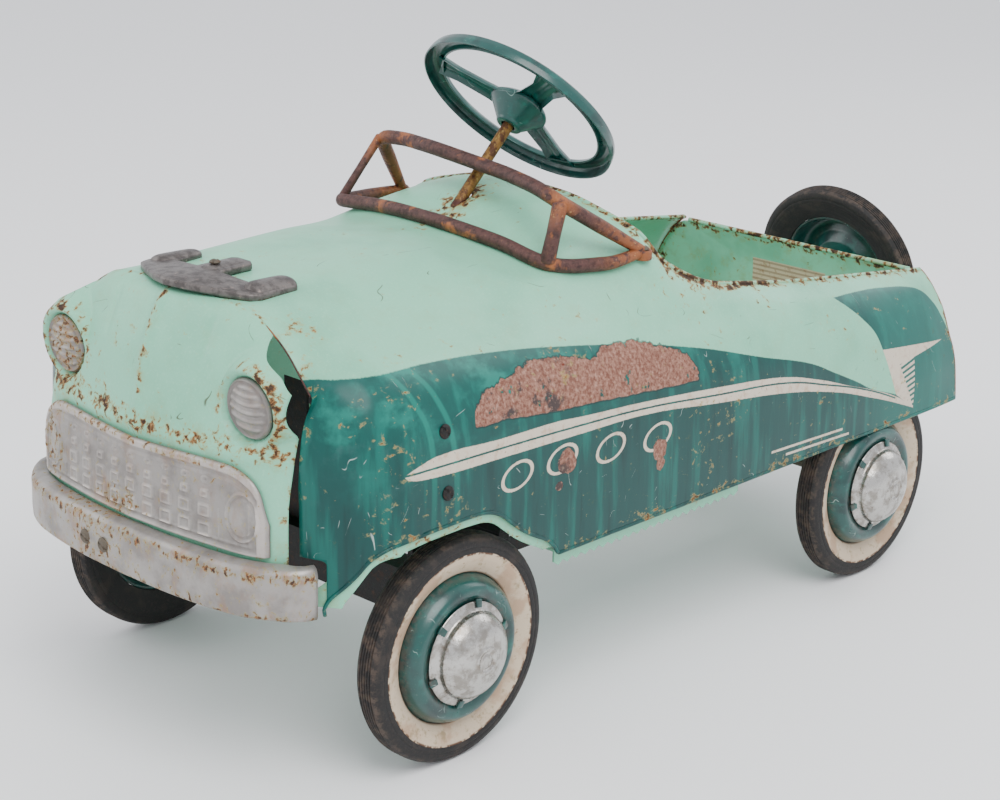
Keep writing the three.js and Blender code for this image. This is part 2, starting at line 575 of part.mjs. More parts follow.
// Strap from the fender bolts over the tyre and down to the axle beam.
function frontHanger() {
  const wall = [[216.8, 238], [213.6, 292], [206.6, 318], [203.6, 317], [210.6, 291]];
  const outline = [...wall, [213.4, 241], [166, 241], [161, 236], [161, BEAM_TOP + GAP], [164, BEAM_TOP + GAP],
    [164, 235], [167, 238]];
  const strap = prism('xz', outline, SIDE_BOLT_Y + 17, SIDE_BOLT_Y + 33);
  const plate = prism('xz', [...wall, [213.4, 238]], SIDE_BOLT_Y - 14, SIDE_BOLT_Y + 18);
  const holes = SIDE_BOLT_Z.map((z) => bar([195, SIDE_BOLT_Y, z], [230, SIDE_BOLT_Y, z], 3.8));
  return cut(join(strap, plate), ...holes);
}

add('front_axle_beam', frontBeam(), blackSteel);
addPair('spindle', spindle(), blackSteel);
add('tie_rod', tieRod(), blackSteel);
addPair('front_hanger', frontHanger(), blackSteel);

// ---------------------------------------------------------------- wheels
const HALF = TYRE_WIDTH / 2;

// Outward face towards +Y. The ring closes on itself, and a flat of the tread touches the floor.
function tyre() {
  const [bore, shoulder, tread] = [RIM_RADIUS + GAP, WHEEL_RADIUS - 6, WHEEL_RADIUS / Math.cos(Math.PI / ROUND)];
  const half = [[tread, 6], [shoulder, HALF - 0.5], [shoulder - 9, HALF], [bore, 5.5]];
  const back = half.slice().reverse().map(([r, h]) => [r, -h]);
  return turned([...back, ...half, back[0]]);
}

function wheelDisc() {
  return turned([[6.1, -15], [12, -15], [13, -2], [56, 12], [RIM_RADIUS - 3, -5], [RIM_RADIUS, -5], [RIM_RADIUS, 5],
    [65, 10], [61, 17], [56, 20.5], [51, 20], [46, 17.5], [14, 4], [12, 11], [6.1, 11], [6.1, -15]]);
}

function hubcap() {
  return turned([[0, 44], [15, 43], [25, 40], [33, 35], [38, 28.5], [39.5, 23], [46.5, 20.6], [46.5, 18.4], [37, 18.4],
    [35, 28], [24, 37], [0, 41]], 18);
}

// axis: direction of the outward face; bore left open for the axle.
function addWheel(name, axis, centre) {
  const flatDown = (manifold) => solid(shape(manifold).rotateY(Math.PI / ROUND));
  add(`tyre_${name}`, aim(flatDown(tyre()), axis, centre), rubber);
  add(`wheel_disc_${name}`, aim(flatDown(wheelDisc()), axis, centre), teal);
  add(`hubcap_${name}`, aim(hubcap(), axis, centre), chrome);
}

for (const [name, side] of sides) {
  addWheel(`front_${name}`, [side, 0, 0], [side * FRONT_WHEEL_X, FRONT_AXLE_Y, WHEEL_RADIUS]);
  addWheel(`rear_${name}`, [side, 0, 0], [side * REAR_WHEEL_X, REAR_AXLE_Y, WHEEL_RADIUS]);
}

// ---------------------------------------------------------------- spare wheel and tail
const SPARE_AXIS = [0, Math.cos(SPARE_TILT), Math.sin(SPARE_TILT)];

addWheel('spare', SPARE_AXIS, SPARE_CENTRE.toArray());

function spareBracket() {
  const axis = new THREE.Vector3(...SPARE_AXIS);
  const tip = SPARE_CENTRE.clone().addScaledVector(axis, 14);
  const elbow = SPARE_CENTRE.clone().addScaledVector(axis, -40);
  const [x, y, z] = [0, 445, elbow.z];
  const stub = bentBar([[x, y, z], elbow.toArray(), tip.toArray()], AXLE_RADIUS);
  return join(stub, box(-26, 26, y, y + 3.5, z - 20, z + 20), bar([x, y, z], [x, y + 10, z], AXLE_RADIUS + 4, 12));
}

function rearPanel() {
  const half = inset(halfSection(BODY_REAR), SKIN + 2.2).slice(3);
  half[half.length - 1].y = 168;
  const edge = [[150, 297], ...half.map((point) => [point.x, point.y])];
  const outline = [...edge, ...edge.slice().reverse().map(([x, z]) => [-x, z])];
  const sheet = prism('xz', outline, 441, 444);
  const hem = bar([-152, 440.5, 295], [152, 440.5, 295], 3, 8);
  return join(sheet, hem);
}

function seatPan() {
  const half = [[207, 236], [207, 380], [202, 440.6]];
  const outline = [...half, ...half.slice().reverse().map(([x, y]) => [-x, y])];
  const lip = box(-207, 207, 236, 239, 188, 214);
  return join(prism('xy', outline, 211, 214), lip);
}

add('spare_bracket', spareBracket(), blackSteel);
add('rear_panel', rearPanel(), mint);
add('seat_pan', seatPan(), mint);

// Pressed strip under each side with a saw-tooth lower edge.
function sillRail() {
  const [front, rear, teeth] = [-190, 74, 22];
  const pitch = (rear - front) / teeth;
  const saw = Array.from({ length: teeth }, (_, i) => [
    [rear - i * pitch, 151], [rear - (i + 0.5) * pitch, 147]]).flat();
  const outline = [[front, 162.6], [rear, 162.6], ...saw, [front, 151]];
  return join(prism('yz', outline, 211, 213), box(200, 213, front, rear, 160.6, 162.6));
}

addPair('sill_rail', sillRail(), mint);

// ---------------------------------------------------------------- rear axle and pedal drive
function rearAxle() {
  const [a, b] = [ROD_X - 14, ROD_X + 14];
  const y = REAR_AXLE_Y;
  const z = WHEEL_RADIUS;
  const t = CRANK_THROW;
  const route = [[REAR_WHEEL_X + 14, y, z], [b, y, z], [b, y - t, z], [a, y - t, z], [a, y, z], [-a, y, z],
    [-a, y + t, z], [-b, y + t, z], [-b, y, z], [-REAR_WHEEL_X - 14, y, z]];
  return bentBar(route, AXLE_RADIUS);
}

function axleHanger() {
  const outline = [[REAR_AXLE_Y - 18, 92], [REAR_AXLE_Y - 12, 84], [REAR_AXLE_Y + 12, 84], [REAR_AXLE_Y + 18, 92],
    [REAR_AXLE_Y + 34, 210.6], [REAR_AXLE_Y - 34, 210.6]];
  const plate = prism('yz', outline, 158, 162);
  const flange = box(158, 176, REAR_AXLE_Y - 30, REAR_AXLE_Y + 30, 207.6, 210.6);
  const bore = bar([150, REAR_AXLE_Y, WHEEL_RADIUS], [170, REAR_AXLE_Y, WHEEL_RADIUS], AXLE_RADIUS + 0.5, 12);
  return cut(join(plate, flange), bore);
}

// Pedal foot and crank pin of one side; the left pedal starts forward, the right one back.
function pedalPlace(side) {
  const swing = side * PEDAL_SWING;
  return {
    foot: [PEDAL_PIVOT.x - PEDAL_ARM * Math.sin(swing), PEDAL_PIVOT.y - PEDAL_ARM * Math.cos(swing)],
    pin: [REAR_AXLE_Y - side * CRANK_THROW, WHEEL_RADIUS],
    swing,
  };
}

function driveRod(side) {
  const { foot, pin } = pedalPlace(side);
  const [x0, x1] = [ROD_X - 3, ROD_X + 3];
  const run = new THREE.Vector2(pin[0] - foot[0], pin[1] - foot[1]).normalize();
  const half = 7;
  const outline = [[foot[0] - run.y * half, foot[1] + half], [foot[0] + run.y * half, foot[1] - half],
    [pin[0] + run.y * half, pin[1] - half], [pin[0] - run.y * half, pin[1] + half]];
  const eye = bar([x0, ...pin], [x1, ...pin], 11, 16);
  const tip = bar([x0, ...foot], [x1, ...foot], 8, 12);
  const bore = bar([x0 - 5, ...pin], [x1 + 5, ...pin], AXLE_RADIUS + 0.6, 12);
  return cut(join(prism('yz', outline, x0, x1), eye, tip), bore);
}

function pedalArm(side) {
  const { swing } = pedalPlace(side);
  const [x0, x1] = [PEDAL_X - 2, PEDAL_X + 2];
  const strap = box(x0, x1, -8, 8, -PEDAL_ARM, 0);
  const hubEye = bar([x0 - 4, 0, 0], [x1 + 4, 0, 0], 9.5, 14);
  const footEye = bar([x0, 0, -PEDAL_ARM], [x1, 0, -PEDAL_ARM], 8, 12);
  const bore = bar([x0 - 9, 0, 0], [x1 + 9, 0, 0], AXLE_RADIUS + 0.6, 12);
  const hanging = shape(cut(join(strap, hubEye, footEye), bore));
  return solid(hanging.rotateX(-swing).translate(0, PEDAL_PIVOT.x, PEDAL_PIVOT.y));
}

// Block that the foot pushes, outboard of the arm.
function pedalPad(side) {
  const { swing } = pedalPlace(side);
  const block = box(PEDAL_X + 2 + GAP, PEDAL_X + 52, -7, 7, -PEDAL_ARM + 8, -PEDAL_ARM + 62);
  return solid(shape(block).rotateX(-swing).translate(0, PEDAL_PIVOT.x, PEDAL_PIVOT.y));
}

function hangerRod() {
  const reach = 196;
  const rod = bar([-reach, ...PEDAL_PIVOT.toArray()], [reach, ...PEDAL_PIVOT.toArray()], AXLE_RADIUS);
  const feet = [1, -1].map((side) => box(side > 0 ? reach - 2 : -reach - 2, side > 0 ? reach + 2 : -reach + 2,
    PEDAL_PIVOT.x - 14, PEDAL_PIVOT.x + 14, PEDAL_PIVOT.y - 22, PEDAL_PIVOT.y + 22));
  return join(rod, ...feet);
}

add('rear_axle', rearAxle(), bareSteel);
addPair('axle_hanger', axleHanger(), blackSteel);
add('pedal_hanger_rod', hangerRod(), blackSteel);
for (const [name, side] of sides) {
  const place = (manifold) => (side > 0 ? manifold : mirrored(manifold));
  add(`drive_rod_${name}`, place(driveRod(side)), blackSteel);
  add(`pedal_arm_${name}`, place(pedalArm(side)), blackSteel);
  add(`pedal_pad_${name}`, place(pedalPad(side)), rubber);
}

export default car;
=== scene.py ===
import math

import bmesh
import bpy
import numpy as np
from mathutils import Matrix, Vector


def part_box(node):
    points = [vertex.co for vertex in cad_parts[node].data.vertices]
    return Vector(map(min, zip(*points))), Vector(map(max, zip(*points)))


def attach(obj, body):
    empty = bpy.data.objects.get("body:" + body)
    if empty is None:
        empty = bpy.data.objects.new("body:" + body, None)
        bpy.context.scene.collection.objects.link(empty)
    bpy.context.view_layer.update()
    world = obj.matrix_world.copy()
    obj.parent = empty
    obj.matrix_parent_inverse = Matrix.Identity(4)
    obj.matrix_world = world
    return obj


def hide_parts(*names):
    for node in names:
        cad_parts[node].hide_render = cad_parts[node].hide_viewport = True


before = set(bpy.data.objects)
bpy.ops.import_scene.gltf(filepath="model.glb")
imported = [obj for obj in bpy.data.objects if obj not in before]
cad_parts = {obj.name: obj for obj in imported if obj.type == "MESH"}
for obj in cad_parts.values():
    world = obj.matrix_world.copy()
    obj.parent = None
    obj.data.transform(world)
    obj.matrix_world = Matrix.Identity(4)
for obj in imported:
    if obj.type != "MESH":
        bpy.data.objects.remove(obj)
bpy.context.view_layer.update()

# The shapes below are written in the CAD source's own millimetres: front towards -Y, left towards +X,
# floor at zero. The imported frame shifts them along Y, and that shift is read from the rear tyre.
MM = 0.001
WHEELBASE = 605
FRONT_AXLE_Y = -WHEELBASE / 2
REAR_AXLE_Y = WHEELBASE / 2


def centre(node):
    """Middle of a CAD node's box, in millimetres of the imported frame."""
    low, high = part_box(node)
    return (low + high) / 2 / MM


FRAME_SHIFT = round(centre("tyre_rear_left").y - REAR_AXLE_Y, 2)
WHEEL_RADIUS = 101.6
FRONT_WHEEL_X, REAR_WHEEL_X = 198.5, 202.5
AXLE_RADIUS = 5.5
KINGPIN_X = 152
SPARE_TILT = math.radians(13)
SPARE_CENTRE = np.array([0, 530.6, 248.6])
SPARE_AXIS = np.array([0, math.cos(SPARE_TILT), math.sin(SPARE_TILT)])
COLUMN_TILT = math.radians(45)
WHEEL_HUB = np.array([0, -16, 506.0])
COLUMN_AXIS = np.array([0, math.cos(COLUMN_TILT), math.sin(COLUMN_TILT)])
SIDES = (("left", 1), ("right", -1))


# ---------------------------------------------------------------- curves and fields
def along(places, values, at):
    """Smooth values at places along a table, by the same rule as the CAD source."""
    places = np.asarray(places, float)
    values = np.asarray(values, float).reshape(len(places), -1)
    at = np.asarray(at, float)
    last = len(places) - 1
    index = np.arange(last + 1)
    after, before = np.minimum(index + 1, last), np.maximum(index - 1, 0)
    slope = (values[after] - values[before]) / (places[after] - places[before])[:, None]
    slot = np.clip(np.searchsorted(places, at, side="right") - 1, 0, last - 1)
    run = (places[slot + 1] - places[slot])[:, None]
    t = (at - places[slot])[:, None] / run
    return (
        (2 * t**3 - 3 * t**2 + 1) * values[slot]
        + (t**3 - 2 * t**2 + t) * run * slope[slot]
        + (3 * t**2 - 2 * t**3) * values[slot + 1]
        + (t**3 - t**2) * run * slope[slot + 1]
    )


def from_table(rows, at):
    """Smooth value at places along a table of (place, value) rows."""
    return along([row[0] for row in rows], [row[1] for row in rows], at)[:, 0]


def fine_rows(places, corners, at, span_steps):
    """Rows of (a, b) corners at some places, made smooth both ways: (place, point, a and b)."""
    rows = along(places, np.array([np.ravel(row) for row in corners], float), at).reshape(len(at), -1, 2)
    knots = np.r_[0, np.cumsum(span_steps)]
    spans = rows.transpose(1, 0, 2).reshape(len(knots), -1)
    dense = along(knots, spans, np.arange(knots[-1] + 1))
    return dense.reshape(knots[-1] + 1, len(at), 2).transpose(1, 0, 2)


def unit(vectors):
    """The vectors at length one."""
    vectors = np.asarray(vectors, float)
    return vectors / np.linalg.norm(vectors, axis=-1, keepdims=True)


def rounded(corners, bend, steps=6, closed=False):
    """A route whose corners are turned on curves that start a bend length before them."""
    corners = np.asarray(corners, float)
    count = len(corners)
    route = [] if closed else [corners[0]]
    for i in range(count) if closed else range(1, count - 1):
        corner, back, ahead = corners[i], corners[i - 1], corners[(i + 1) % count]
        reach = min(bend, np.linalg.norm(back - corner) / 2.05, np.linalg.norm(ahead - corner) / 2.05)
        start = corner + unit(back - corner) * reach
        end = corner + unit(ahead - corner) * reach
        for t in np.linspace(0, 1, steps + 1):
            route.append((1 - t) ** 2 * start + 2 * t * (1 - t) * corner + t**2 * end)
    if not closed:
        route.append(corners[-1])
    return np.array(route)


def lengths_along(route):
    """Length of a route from its start to each of its points."""
    return np.r_[0, np.cumsum(np.linalg.norm(np.diff(route, axis=0), axis=1))]


def flowing(corners, step):
    """A smooth route through all the corners, with a point about every step."""
    corners = np.asarray(corners, float)
    lengths = lengths_along(corners)
    return along(lengths, corners, np.linspace(0, lengths[-1], int(lengths[-1] / step) + 2))


def evenly(route, count):
    """A route's points at even distances, and those distances."""
    lengths = lengths_along(route)
    even = np.linspace(0, lengths[-1], count)
    return np.column_stack([np.interp(even, lengths, values) for values in np.transpose(route)]), even


def outside(points, outline):
    """Distance of flat points to a closed outline, negative inside it."""
    points = np.asarray(points, float)
    outline = np.asarray(outline, float)
    nearest = np.full(len(points), 1e9)
    inside = np.zeros(len(points), bool)
    for a, b in zip(outline, np.roll(outline, -1, axis=0)):
        run = b - a
        share = np.clip(((points - a) @ run) / max(run @ run, 1e-9), 0, 1)
        nearest = np.minimum(nearest, np.linalg.norm(points - a - share[:, None] * run, axis=1))
        crosses = (a[1] > points[:, 1]) != (b[1] > points[:, 1])
        height = b[1] - a[1] if b[1] != a[1] else 1e-9
        inside ^= crosses & (points[:, 0] < a[0] + (points[:, 1] - a[1]) * run[0] / height)
    return np.where(inside, -nearest, nearest)


def bump(distance, width):
    """One at zero distance, falling smoothly to nothing at the width."""
    share = np.clip(1 - np.abs(distance) / width, 0, 1)
    return share * share * (3 - 2 * share)


# ---------------------------------------------------------------- mesh shapes: (points, faces)
def grid(points, wrap=False, wrap_rows=False):
    """Quads over rows of points."""
    rows, columns = points.shape[:2]
    faces = []
    for r in range(rows if wrap_rows else rows - 1):
        below, above = r * columns, (r + 1) % rows * columns
        for c in range(columns if wrap else columns - 1):
            d = (c + 1) % columns
            faces.append((below + c, below + d, above + d, above + c))
    return points.reshape(-1, 3), faces


def tube(route, radius, sides=18):
    """A round bar along a route, with slightly eased ends."""
    route = np.asarray(route, float)
    radii = np.broadcast_to(radius, len(route)).astype(float)
    ease = radii[[0, -1]] * 0.25
    first, last = unit(route[1] - route[0]), unit(route[-1] - route[-2])
    near_ends = route[0] + first * ease[0], route[-1] - last * ease[1]
    route = np.vstack([route[:1], near_ends[0], route[1:-1], near_ends[1], route[-1:]])
    radii = np.r_[radii[0] * 0.8, radii[0], radii[1:-1], radii[-1], radii[-1] * 0.8]
    tangents = unit(np.gradient(route, axis=0))
    side = unit(np.cross(tangents[0], (0, 0, 1) if abs(tangents[0][2]) < 0.9 else (1, 0, 0)))
    turns = np.linspace(0, 2 * math.pi, sides, endpoint=False)
    rings = []
    for point, tangent, size in zip(route, tangents, radii):
        side = unit(side - (side @ tangent) * tangent)
        over = np.cross(tangent, side)
        ring = np.outer(np.cos(turns), side) + np.outer(np.sin(turns), over)
        rings.append(point + ring * size)
    points, faces = grid(np.array(rings), wrap=True)
    end = len(points) - sides
    faces.append(tuple(range(sides))[::-1])
    faces.append(tuple(range(end, end + sides)))
    return points, faces


def lathe(profile, sides=96, closed=False, swell=None):
    """A shape turned about Z from (radius, height) points. swell(turn, radius) scales the radius."""
    profile = np.asarray(profile, float)
    turns = np.linspace(0, 2 * math.pi, sides, endpoint=False)
    radius = np.repeat(profile[:, :1], sides, axis=1)
    if swell is not None:
        radius = radius * swell(turns[None, :], radius)
    height = np.repeat(profile[:, 1:], sides, axis=1)
    points = np.stack([radius * np.cos(turns), radius * np.sin(turns), height], axis=-1)
    return grid(points, wrap=True, wrap_rows=closed)


def plate(outline, low, high, ease, place):
    """A flat outline with thickness and eased edges; place(a, b, h) gives each point in space."""
    bm = bmesh.new()
    face = bm.faces.new([bm.verts.new((a, b, low)) for a, b in outline])
    grown = bmesh.ops.extrude_face_region(bm, geom=[face])["geom"]
    for v in grown:
        if isinstance(v, bmesh.types.BMVert):
            v.co.z = high
    bmesh.ops.recalc_face_normals(bm, faces=bm.faces)
    bmesh.ops.bevel(bm, geom=bm.edges[:], offset=ease, segments=2, affect="EDGES", profile=0.5)
    bmesh.ops.triangulate(bm, faces=[f for f in bm.faces if len(f.verts) > 4])
    points = np.array([place(*v.co) for v in bm.verts])
    faces = [tuple(v.index for v in f.verts) for f in bm.faces]
    bm.free()
    return points, faces


def clip(shape, field):
    """Cuts away what lies where a field of the points is negative, splitting faces at zero."""
    points, faces = shape
    value = field(points)
    points = [tuple(p) for p in points]
    made, kept = {}, []
    for face in faces:
        signs = [value[i] >= 0 for i in face]
        if all(signs):
            kept.append(face)
            continue
        if not any(signs):
            continue
        loop = []
        for i, j in zip(face, (*face[1:], face[0])):
            if value[i] >= 0:
                loop.append(i)
            if (value[i] >= 0) != (value[j] >= 0):
                key = (min(i, j), max(i, j))
                if key not in made:
                    share = value[i] / (value[i] - value[j])
                    made[key] = len(points)
                    points.append(tuple(a + (b - a) * share for a, b in zip(points[i], points[j])))
                loop.append(made[key])
        kept.append(tuple(loop))
    return np.array(points), kept


def together(*shapes):
    """Several shapes as one."""
    points, faces, offset = [], [], 0
    for some, loops in shapes:
        points.append(some)
        faces += [tuple(i + offset for i in loop) for loop in loops]
        offset += len(some)
    return np.vstack(points), faces


def mirror(shape):
    """The shape's mirror image on the other side of the car."""
    points, faces = shape
    return points * (-1, 1, 1), [tuple(reversed(loop)) for loop in faces]


def sided(shape, side):
    """A left shape, or its mirror image where side is -1."""
    return shape if side > 0 else mirror(shape)


def aimed(direction, position, turn=0.0):
    """Placement, in metres, of a shape whose Z axis points along a direction."""
    rotation = Vector(direction).normalized().to_track_quat("Z", "Y").to_matrix().to_4x4()
    spot = (Vector(position) + Vector((0, FRAME_SHIFT, 0))) * MM
    return Matrix.Translation(spot) @ rotation @ Matrix.Rotation(turn, 4, "Z")


WELD = 0.15


def piece(name, shape, body, material, stands_for=(), place=None, wall=0.0, sharp=38, fields=None,
          turned=True):
    """Makes one visible piece, rides it on its body and gives it its material."""
    points, faces = shape
    shift = (0, 0, 0) if place else (0, FRAME_SHIFT, 0)
    mesh = bpy.data.meshes.new(name)
    mesh.from_pydata(((np.asarray(points) + shift) * MM).tolist(), [], [tuple(map(int, f)) for f in faces])
    bm = bmesh.new()
    bm.from_mesh(mesh)
    bmesh.ops.remove_doubles(bm, verts=bm.verts, dist=WELD * MM)
    bmesh.ops.dissolve_degenerate(bm, edges=bm.edges, dist=WELD * MM / 5)
    if turned:
        bmesh.ops.recalc_face_normals(bm, faces=bm.faces)
    bm.to_mesh(mesh)
    bm.free()
    mesh.shade_smooth()
    mesh.set_sharp_from_angle(angle=math.radians(sharp))
    for key, field in (fields or {}).items():
        spots = np.array([v.co for v in mesh.vertices]) / MM - shift
        layer = mesh.attributes.new(key, "FLOAT", "POINT")
        layer.data.foreach_set("value", np.asarray(field(spots), np.float32))
    obj = bpy.data.objects.new(name, mesh)
    bpy.context.scene.collection.objects.link(obj)
    for one in material if isinstance(material, tuple) else (material,):
        mesh.materials.append(one)
    if place:
        obj.matrix_world = place
    if wall:
        skin = obj.modifiers.new("wall", "SOLIDIFY")
        skin.thickness = wall * MM
        skin.offset = -1
        skin.material_offset = 1 if isinstance(material, tuple) else 0
    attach(obj, body)
    if stands_for:
        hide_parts(*stands_for)
    return obj


# ---------------------------------------------------------------- material arithmetic
def shade(red, green, blue):
    """Scene-linear colour of an 8-bit screen colour."""
    linear = [c / 255 / 12.92 if c < 10.3 else ((c / 255 + 0.055) / 1.055) ** 2.4 for c in (red, green, blue)]
    return (*[0.82 * value**1.3 for value in linear], 1.0)


class Signal:
    """One value or colour inside a material. Arithmetic on it adds nodes."""

    def __init__(self, tree, socket):
        self.tree, self.socket = tree, socket

    def feed(self, slot, value):
        if isinstance(value, Signal):
            self.tree.links.new(value.socket, slot)
        else:
            slot.default_value = value

    def math(self, operation, *others, clamp=False):
        node = self.tree.nodes.new("ShaderNodeMath")
        node.operation, node.use_clamp = operation, clamp
        for slot, value in zip(node.inputs, (self, *others)):
            self.feed(slot, value)
        return Signal(self.tree, node.outputs[0])

    def __add__(self, other):
        return self.math("ADD", other)

    def __sub__(self, other):
        return self.math("SUBTRACT", other)

    def __mul__(self, other):
        return self.math("MULTIPLY", other)

    def __truediv__(self, other):
        return self.math("DIVIDE", other)

    __radd__, __rmul__ = __add__, __mul__

    def flipped(self):
        return (self * -1.0) + 1.0

    def size(self):
        return self.math("ABSOLUTE")

    def least(self, other):
        return self.math("MINIMUM", other)

    def most(self, other):
        return self.math("MAXIMUM", other)

    def rise(self, low, high):
        """Zero below low, one above high, smooth between. Falls instead if high is below low."""
        node = self.tree.nodes.new("ShaderNodeMapRange")
        node.interpolation_type = "SMOOTHSTEP"
        self.feed(node.inputs[0], self)
        node.inputs[1].default_value, node.inputs[2].default_value = min(low, high), max(low, high)
        node.inputs[3].default_value, node.inputs[4].default_value = (0, 1) if low < high else (1, 0)
        return Signal(self.tree, node.outputs[0])

    def under(self, top, factor):
        """This colour with another one laid over it by a factor."""
        node = self.tree.nodes.new("ShaderNodeMix")
        node.data_type = "RGBA"
        self.feed(node.inputs[0], factor)
        self.feed(node.inputs[6], self)
        self.feed(node.inputs[7], top)
        return Signal(self.tree, node.outputs[2])


class Finish:
    """A procedural material. Its place is in millimetres: the CAD source's frame, or the piece's own."""

    def __init__(self, name, local=False):
        self.material = bpy.data.materials.new(name)
        self.material.use_nodes = True
        self.tree = self.material.node_tree
        self.bsdf = next(n for n in self.tree.nodes if n.type == "BSDF_PRINCIPLED")
        coordinates = self.tree.nodes.new("ShaderNodeTexCoord")
        mapping = self.tree.nodes.new("ShaderNodeMapping")
        mapping.inputs["Scale"].default_value = (1 / MM,) * 3
        mapping.inputs["Location"].default_value = (0, 0 if local else -FRAME_SHIFT, 0)
        self.tree.links.new(coordinates.outputs["Object"], mapping.inputs["Vector"])
        self.place = mapping.outputs[0]
        split = self.tree.nodes.new("ShaderNodeSeparateXYZ")
        self.tree.links.new(self.place, split.inputs[0])
        self.x, self.y, self.z = (Signal(self.tree, s) for s in split.outputs)

    def stretched(self, size, stretch, seed):
        mapping = self.tree.nodes.new("ShaderNodeMapping")
        mapping.inputs["Scale"].default_value = tuple(1 / (size * s) for s in stretch)
        mapping.inputs["Location"].default_value = (seed * 3.7, seed * 5.3, seed * 1.9)
        self.tree.links.new(self.place, mapping.inputs["Vector"])
        return mapping.outputs[0]

    def noise(self, size, detail=4.0, rough=0.55, stretch=(1, 1, 1), seed=0.0, warp=0.0):
        """Cloudy noise around a half, with features of about a size in millimetres."""
        node = self.tree.nodes.new("ShaderNodeTexNoise")
        self.tree.links.new(self.stretched(size, stretch, seed), node.inputs["Vector"])
        node.inputs["Scale"].default_value = 1.0
        node.inputs["Detail"].default_value = detail
        node.inputs["Roughness"].default_value = rough
        node.inputs["Distortion"].default_value = warp
        return Signal(self.tree, node.outputs["Fac"])

    def hairlines(self, size, width, stretch=(1, 1, 1), seed=0.0, share=0.55):
        """Fine broken lines, as scratches are."""
        field = self.noise(size, 1.0, 0.4, stretch, seed, warp=0.6)
        line = (field - 0.5).size().rise(width, width * 0.3)
        return line * self.noise(size * 0.7, 2.0, 0.5, seed=seed + 4).rise(share, share + 0.05)

    def attribute(self, name):
        node = self.tree.nodes.new("ShaderNodeAttribute")
        node.attribute_name = name
        return Signal(self.tree, node.outputs["Fac"])

    def colour(self, rgb):
        node = self.tree.nodes.new("ShaderNodeRGB")
        node.outputs[0].default_value = rgb
        return Signal(self.tree, node.outputs[0])

    def line(self, signal, points):
        """Height of a drawn line at a place: straight from point to point."""
        places = [p[0] for p in points]
        heights = [p[1] for p in points]
        low, high = min(heights), max(heights)
        node = self.tree.nodes.new("ShaderNodeFloatCurve")
        curve = node.mapping.curves[0]
        for i, (place, height) in enumerate(points):
            spot = ((place - places[0]) / (places[-1] - places[0]), (height - low) / (high - low))
            if i in (0, len(points) - 1):
                curve.points[0 if i == 0 else -1].location = spot
            else:
                curve.points.new(*spot)
        for point in curve.points:
            point.handle_type = "AUTO"
        node.mapping.update()
        share = (signal - float(places[0])) / float(places[-1] - places[0])
        self.tree.links.new(share.socket, node.inputs["Value"])
        return Signal(self.tree, node.outputs[0]) * float(high - low) + float(low)

    def inside(self, across, up, polygon):
        """Depth inside a convex outline whose corners run clockwise, in millimetres."""
        depth = None
        for (a0, b0), (a1, b1) in zip(polygon, polygon[1:] + polygon[:1]):
            length = math.hypot(a1 - a0, b1 - b0)
            na, nb = (b1 - b0) / length, (a0 - a1) / length
            edge = across * na + up * nb - (a0 * na + b0 * nb)
            depth = edge if depth is None else depth.least(edge)
        return depth

    def rust(self, base, amount, size=8.0, seed=0.0, stretch=(1, 1, 1)):
        """Lays rust on a colour: pale halo, orange ring, dark core. Returns the colour and how much shows."""
        level = self.noise(size, 9.0, 0.62, stretch, seed, warp=0.3) + amount
        halo, ring, core = level.rise(0.62, 0.72), level.rise(0.68, 0.75), level.rise(0.73, 0.82)
        tint = self.noise(size * 0.6, 4.0, seed=seed + 9)
        rusty = self.colour(shade(176, 118, 62)).under(shade(110, 62, 34), tint.rise(0.4, 0.62))
        colour = base.under(shade(196, 186, 130), halo * 0.6).under(rusty, ring * 0.85)
        return colour.under(shade(62, 38, 26), core * 0.9), ring

    def done(self, colour, roughness, metallic=0.0, height=None, depth=0.2, **fixed):
        """Plugs the finished signals in. depth is the bump's height in millimetres."""
        for name, value in (("Base Color", colour), ("Roughness", roughness), ("Metallic", metallic)):
            slot = self.bsdf.inputs[name]
            if isinstance(value, Signal):
                self.tree.links.new(value.socket, slot)
            else:
                slot.default_value = value
        if height is not None:
            bumps = self.tree.nodes.new("ShaderNodeBump")
            bumps.inputs["Distance"].default_value = depth * MM
            self.tree.links.new(height.socket, bumps.inputs["Height"])
            self.tree.links.new(bumps.outputs[0], self.bsdf.inputs["Normal"])
        for name, value in fixed.items():
            self.bsdf.inputs[name.replace("_", " ").title().replace("Ior", "IOR")].default_value = value
        return self.material


MINT = shade(160, 220, 192)
MINT_DEEP = shade(138, 200, 172)
MINT_PALE = shade(186, 232, 208)
TEAL = shade(0, 92, 88)
TEAL_BRIGHT = shade(0, 138, 126)
TEAL_DEEP = shade(0, 62, 62)
CREAM = shade(226, 216, 200)
BARE = shade(176, 138, 122)
SILVER = shade(182, 178, 174)


# ---------------------------------------------------------------- the painted body
TEAL_TOP = [(-470, 340), (-438, 348), (-416, 356), (-355, 357), (-319, 356), (-241, 350), (-170, 341),
            (-71, 324), (9, 306), (96, 281), (174, 259), (213, 242), (255, 223), (279, 211), (325, 195),
            (360, 180)]
TAIL_FRONT = [(172, 331), (195, 325), (222, 313), (247, 301), (267, 291), (280, 279), (294, 263),
              (307, 245)]
TAIL_TOP = [(240, 307), (307, 303), (350, 298), (386, 292), (408, 285), (426, 271), (438, 252),
            (450, 225)]
SPEAR_TOP = [(-380, 280), (-360, 286), (-341, 289), (-269, 286), (-194, 284.5), (-164, 282), (-88, 277),
             (25, 267), (122, 256), (184, 241), (245, 221), (277, 211), (325, 193), (361, 172.5)]
SPEAR_LOW = [(-380, 280), (-369, 274), (-351, 272), (-257, 269), (-164, 267), (-88, 265), (25, 252),
             (122, 240), (204, 224), (277, 202.5), (361, 172.5)]
